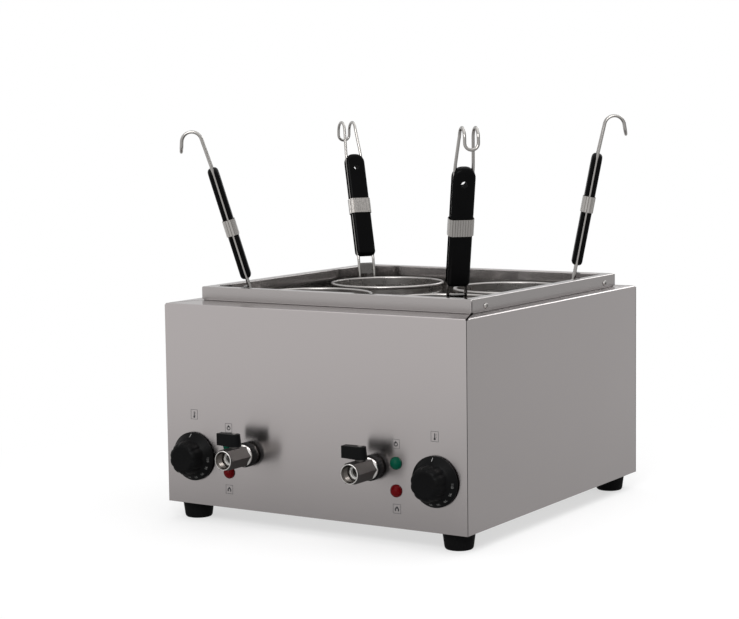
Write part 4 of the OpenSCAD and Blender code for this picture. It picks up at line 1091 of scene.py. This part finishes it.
def basketFloor():
    b = basket
    pitch = b["floorPitch"]
    span = int(2 * (b["radius"] - b["bevel"]) / pitch) + 2
    bm = holedSheet(span, span * 2, pitch, b["floorHole"])
    bmesh.ops.translate(bm, vec=(-span * pitch / 2, -span * pitch / 2, b["floorZ"] + b["sheet"]), verts=bm.verts)
    bmesh.ops.remove_doubles(bm, verts=bm.verts, dist=0.02)
    far = [g for g in bm.faces if g.calc_center_median().xy.length > b["radius"] - b["bevel"] - 2]
    bmesh.ops.delete(bm, geom=far, context="FACES")
    return thicken(toObject("basketFloor", outward(bm, facesUp, 1)), b["sheet"], -1)


def basketRim():
    b = basket
    r, t, floorZ, bevel = b["radius"], b["sheet"], b["floorZ"], b["bevel"]
    lowZ, bandZ = floorZ + bevel, b["rimZ"] - b["topBand"] - 2
    bead = [(b["rimR"] + b["beadR"] * cos(a), b["rimZ"] + b["beadR"] * sin(a))
            for a in (2 * pi * k / b["beadSteps"] for k in range(b["beadSteps"]))]
    ring = lathe(bead, 96)
    top = lathe([(r - t, bandZ), (r + 0.05, bandZ), (r + 0.05, b["rimZ"]), (r - t, b["rimZ"])], 96)
    dish = lathe([(r - bevel - 6, floorZ + t), (r - bevel - 6, floorZ), (r - bevel, floorZ),
                  (r - bevel * 0.62, floorZ + 0.6), (r - bevel * 0.29, floorZ + 2.4), (r - 0.6, lowZ - 3), (r, lowZ),
                  (r + 0.05, lowZ + b["lowBand"]), (r - t, lowZ + b["lowBand"]), (r - t, lowZ),
                  (r - t - 0.5, lowZ - 2.6),
                  (r - bevel * 0.29 - 0.6, floorZ + 2.4 + t * 0.7), (r - bevel * 0.62 - 0.3, floorZ + 0.6 + t * 0.9),
                  (r - bevel - 0.2, floorZ + t)], 96)
    return joined(ring, top, dish)


def buildBaskets():
    wall, bottom = basketWall(), basketFloor()
    for k, (x, y) in enumerate(basket["centres"], 1):
        body = "basket_%d" % k
        spot = shift(x * mm, y * mm, 0) @ spun(0.3 * k, "Z")
        for part, source in (("wall", wall), ("floor", bottom)):
            mesh = source.data.copy()
            mesh.transform(spot)
            piece = bpy.data.objects.new("%s_%s" % (body, part), mesh)
            scene.collection.objects.link(piece)
            addPiece(piece, body, "meshSteel", [body], smooth=50, even=False)
        addPiece((body + "_rim", moved(basketRim(), shift(x, y, 0))), body, "rimSteel",
                 [body])
    discard(wall)
    discard(bottom)


buildBaskets()
print("stage: baskets")

# Handles: bent wire with a double hook, catch strip, moulded grip and ribbed band
handle = {"turn": (215, 143, 313, 28), "lean": (16.5, 17.5, 16, 11), "lift": (-6, 2.5, -2.5, 2), "out": 85.0,
          "gripZ": 308.0, "wireR": 1.95, "wireY": 11.0, "wireX": 79.95, "tail": 26.0, "bend": 4.0, "hookY": 8.2,
          "hookLeg": 39.0, "hookR": 13.0, "hookTip": 5.5, "hookSet": 1.5, "hookSweep": 160, "hookSteps": 24,
          "tipSteps": 20, "catchT": 1.6,
          "catchGap": 5.0, "catchHalf": 8.7, "catchReach": 8.0, "catchDrop": 5.5, "catchBend": 1.6, "neckBend": 5.0}
grip = {"length": 150.0, "width": 29.0, "thick": 14.0, "shoulder": 12.6, "foot": 6.0, "edge": 5.2, "groove": 4.4,
        "trough": 8.6, "troughY": 12.3, "boreR": 2.25, "holeR": 4.0, "holeDrop": 20.0, "past": (2, 2.5),
        "holeReach": 20}
band = {"length": 21.0, "drop": 74.0, "slip": (7, 3, 0, -5.5), "low": 0.15, "ridge": 0.64, "sheet": 0.45}


def leanPoint(k, n, y, u):
    lean = radians(handle["lean"][k])
    return Vector((handle["out"] + n * cos(lean) + u * sin(lean), y,
                   handle["gripZ"] + handle["lift"][k] - n * sin(lean) + u * cos(lean)))


def softCorner(a, b, c, reach, steps=8):
    p, q = b + reach * (a - b).normalized(), b + reach * (c - b).normalized()
    return [(1 - t) ** 2 * p + 2 * t * (1 - t) * b + t * t * q for t in (k / steps for k in range(steps + 1))]


def wirePath(k):
    h = handle
    tail = Vector((h["wireX"], h["wireY"], basket["rimZ"] - h["tail"]))
    rise = Vector((h["wireX"], h["wireY"], basket["rimZ"] + 2 * basket["beadR"]))
    foot = leanPoint(k, 0, h["wireY"], -h["bend"])
    head = leanPoint(k, 0, h["wireY"], grip["length"])
    top, sweep = grip["length"] + h["hookLeg"], radians(h["hookSweep"])
    middle = h["hookSet"] + h["hookR"]
    neck = leanPoint(k, h["hookSet"], h["hookY"], top)
    half = [tail] + softCorner(tail, rise, foot, h["bend"]) + softCorner(rise, foot, head, h["bend"])
    half += softCorner(foot, head, neck, h["neckBend"])
    for a in (sweep * step / h["hookSteps"] for step in range(h["hookSteps"] + 1)):
        half.append(leanPoint(k, middle - h["hookR"] * cos(a), h["hookY"], top + h["hookR"] * sin(a)))
    endN, endU = middle - h["hookR"] * cos(sweep), top + h["hookR"] * sin(sweep)
    cross = []
    for a in (pi * step / h["tipSteps"] for step in range(h["tipSteps"] + 1)):
        run = h["hookTip"] + h["hookY"] * sin(a)
        cross.append(leanPoint(k, endN + run * sin(sweep), h["hookY"] * cos(a),
                               endU + run * cos(sweep)))
    mirrored = [Vector((p.x, -p.y, p.z)) for p in reversed(half)]
    return half + cross + mirrored


def wireMesh(path, radius):
    curve = bpy.data.curves.new("wire", "CURVE")
    curve.dimensions = "3D"
    curve.bevel_depth = radius
    curve.bevel_resolution = 3
    curve.use_fill_caps = True
    line = curve.splines.new("POLY")
    line.points.add(len(path) - 1)
    for point, place in zip(line.points, path):
        point.co = (*place, 1)
    bm = curveMesh(curve)
    bmesh.ops.remove_doubles(bm, verts=bm.verts, dist=1e-4)
    return evenNormals(bm)


def catchStrip(k):
    h = handle
    foot = leanPoint(k, 0, 0, -h["bend"])
    slope = atan2(foot.x - h["wireX"], foot.z - basket["rimZ"] - 2 * basket["beadR"])
    height = (foot.z - basket["rimZ"] - basket["beadR"] - h["catchGap"]) / cos(slope)
    head = -h["catchDrop"] - h["catchT"] / 2
    spots = ((0, -height), (0, head), (h["catchReach"] - h["catchT"] / 2, head))
    bm, _, edges = openLine([(x, -h["catchHalf"], z) for x, z in spots])
    pull(bm, edges, (0, 2 * h["catchHalf"], 0))
    roundEdges(bm, innerEdges(bm), h["catchBend"], 4)
    return moved(evenNormals(bm), Matrix.Translation(foot) @ spun(slope, "Y"))


def gripShape():
    g = grip
    bm = block((-g["thick"] / 2, -g["width"] / 2, 0), (g["thick"] / 2, g["width"] / 2, g["length"]))
    for atTop, radius, segments in ((True, g["shoulder"], 8), (False, g["foot"], 4)):
        ends = [e for e in bm.edges if abs(e.verts[0].co.x - e.verts[1].co.x) > 1
                and all((v.co.z > g["length"] - 0.1) == atTop and (atTop or v.co.z < 0.1) for v in e.verts)]
        roundEdges(bm, ends, radius, segments)
    bm.normal_update()
    outline = [e for e in innerEdges(bm) if sum(abs(f.normal.x) > 0.9 for f in e.link_faces) == 1]
    roundEdges(bm, outline, g["edge"], 6)
    return bm


def gripGrooves():
    g = grip
    parts = []
    for s in (-1, 1):
        for width, start, past in zip((g["groove"], g["trough"]), (handle["wireY"], g["troughY"]), g["past"]):
            inner, outer = sorted((s * start, s * g["width"]))
            parts.append(block((-width / 2, inner, -past), (width / 2, outer, g["length"] + past)))
    return parts


def gripBores():
    g = grip
    past, reach = g["past"][0], g["holeReach"]
    bores = [moved(rod(g["boreR"], -past, g["length"] + past, 24), shift(0, s * handle["wireY"], 0))
             for s in (-1, 1)]
    hang = moved(rod(g["holeR"], -reach, reach, 32),
                 shift(0, 0, g["length"] - g["holeDrop"]) @ spun(pi / 2, "Y"))
    return joined(*bores, hang)


def bandHalf():
    return Vector((grip["thick"] / 2 + band["low"], grip["width"] / 2 + band["low"], 0))


def bandCore(point):
    inner = bandHalf() - Vector((grip["edge"] + band["low"],) * 3)
    return Vector((max(-inner.x, min(inner.x, point.x)), max(-inner.y, min(inner.y, point.y)), 0))


def bandShape():
    half, radius = bandHalf(), grip["edge"] + band["low"]
    bm = bmesh.new()
    roundedFace(bm, -half.x, -half.y, half.x, half.y, 0, radius, 9)
    bmesh.ops.delete(bm, geom=bm.faces[:], context="FACES_ONLY")
    for shortest, cuts in ((12, 17), (3, 2)):
        bmesh.ops.subdivide_edges(bm, edges=[e for e in bm.edges if e.calc_length() > shortest], cuts=cuts)
    outline = bm.edges[:]
    loop = [bm.verts[:][0]]
    while True:
        following = [e.other_vert(loop[-1]) for e in loop[-1].link_edges if e.other_vert(loop[-1]) not in loop[-2:]]
        if not following or (len(loop) > 2 and following[0] is loop[0]):
            break
        loop.append(following[0])
    # every third point stays low as a groove, the two between make the crown of a rib
    raised = []
    for k, v in enumerate(loop):
        if k % 3:
            groove = loop[(k + (1 if k % 3 == 2 else -1)) % len(loop)]
            near = v.co.lerp(groove.co, 0.5)
            raised.append((v, near + (near - bandCore(near)).normalized() * band["ridge"]))
    for v, place in raised:
        v.co = place
    pull(bm, outline, (0, 0, band["length"]))
    return outward(bm, facesAway)


def buildHandles():
    for k, (x, y) in enumerate(basket["centres"]):
        count = str(k + 1)
        body, node = "basket_" + count, "handle_" + count
        lean = radians(handle["lean"][k])
        stand = shift(x, y, 0) @ spun(radians(handle["turn"][k]), "Z")
        hold = stand @ Matrix.Translation(leanPoint(k, 0, 0, 0)) @ spun(lean, "Y")
        wire = moved(wireMesh(wirePath(k), handle["wireR"]), stand)
        addPiece((node + "_wire", wire), body, "wireSteel", [node], smooth=60)
        strip = thicken(toObject(node + "_catch", moved(catchStrip(k), stand)), handle["catchT"])
        addPiece(strip, body, "catchSteel", [node])
        hilt = toObject("grip_" + count + "_hilt", moved(gripShape(), hold))
        for channel in gripGrooves():
            cutAway(hilt, moved(channel, hold))
        cutAway(hilt, moved(gripBores(), hold))
        addPiece(hilt, body, "gripPlastic", ["grip_" + count])
        hang = hold @ Vector((0, 0, grip["length"] - grip["holeDrop"]))
        across = (hold.to_3x3() @ Vector((1, 0, 0))).normalized()
        paintFaces(hilt, "footRubber", lambda c, n: (c - hang).cross(across).length < grip["holeR"] + 0.05
                   and abs(n.dot(across)) < 0.3)
        lift = shift(0, 0, grip["length"] - band["drop"] - band["slip"][k] - band["length"] / 2)
        cuff = thicken(toObject("band_" + count + "_cuff", moved(bandShape(), hold @ lift)), band["sheet"], 1)
        addPiece(cuff, body, "bandSteel", ["band_" + count], smooth=20, even=False)
        back = (hold @ lift).inverted()
        crown = grip["edge"] + band["low"] + 0.5 * band["ridge"] + band["sheet"]

        # painted shade: the groove faces between the band's ribs get a near-black finish
        def inShadedGroove(c, n):
            spot = (back @ c) * Vector((1, 1, 0))
            return (spot - bandCore(spot)).length < crown

        paintFaces(cuff, "bandGrooveShade", inShadedGroove)


buildHandles()
print("stage: handles")

# Finishes of the CAD nodes that stay
keptNodes = {"traySteel": ["base_plate"],
             "wellSteel": ["well_left", "well_right", "divider_cap", "grid_left", "grid_right"],
             "screwSteel": ["foot_screws", "thermostat_screws", "lever_screw_left", "lever_screw_right"],
             "heaterSteel": ["heater_left", "heater_right"],
             "nickel": ["heater_nuts", "drain_pipes", "valve_stem_left", "valve_stem_right"],
             "caseMetal": ["thermostat_left", "thermostat_right", "spindle_left", "spindle_right"],
             "ballSteel": ["valve_ball_left", "valve_ball_right"], "copper": ["sensors"], "blackNylon": ["lamp_nuts"],
             "seatPlastic": ["valve_seats"], "terminalPlastic": ["terminal_block"]}
for finishName, nodeNames in keptNodes.items():
    for node in (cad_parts[nodeName] for nodeName in nodeNames):
        if not node.material_slots:
            node.data.materials.append(finishes[finishName])
        for slotHere in node.material_slots:
            slotHere.material = finishes[finishName]
print("stage: kept nodes")

bpy.context.view_layer.update()
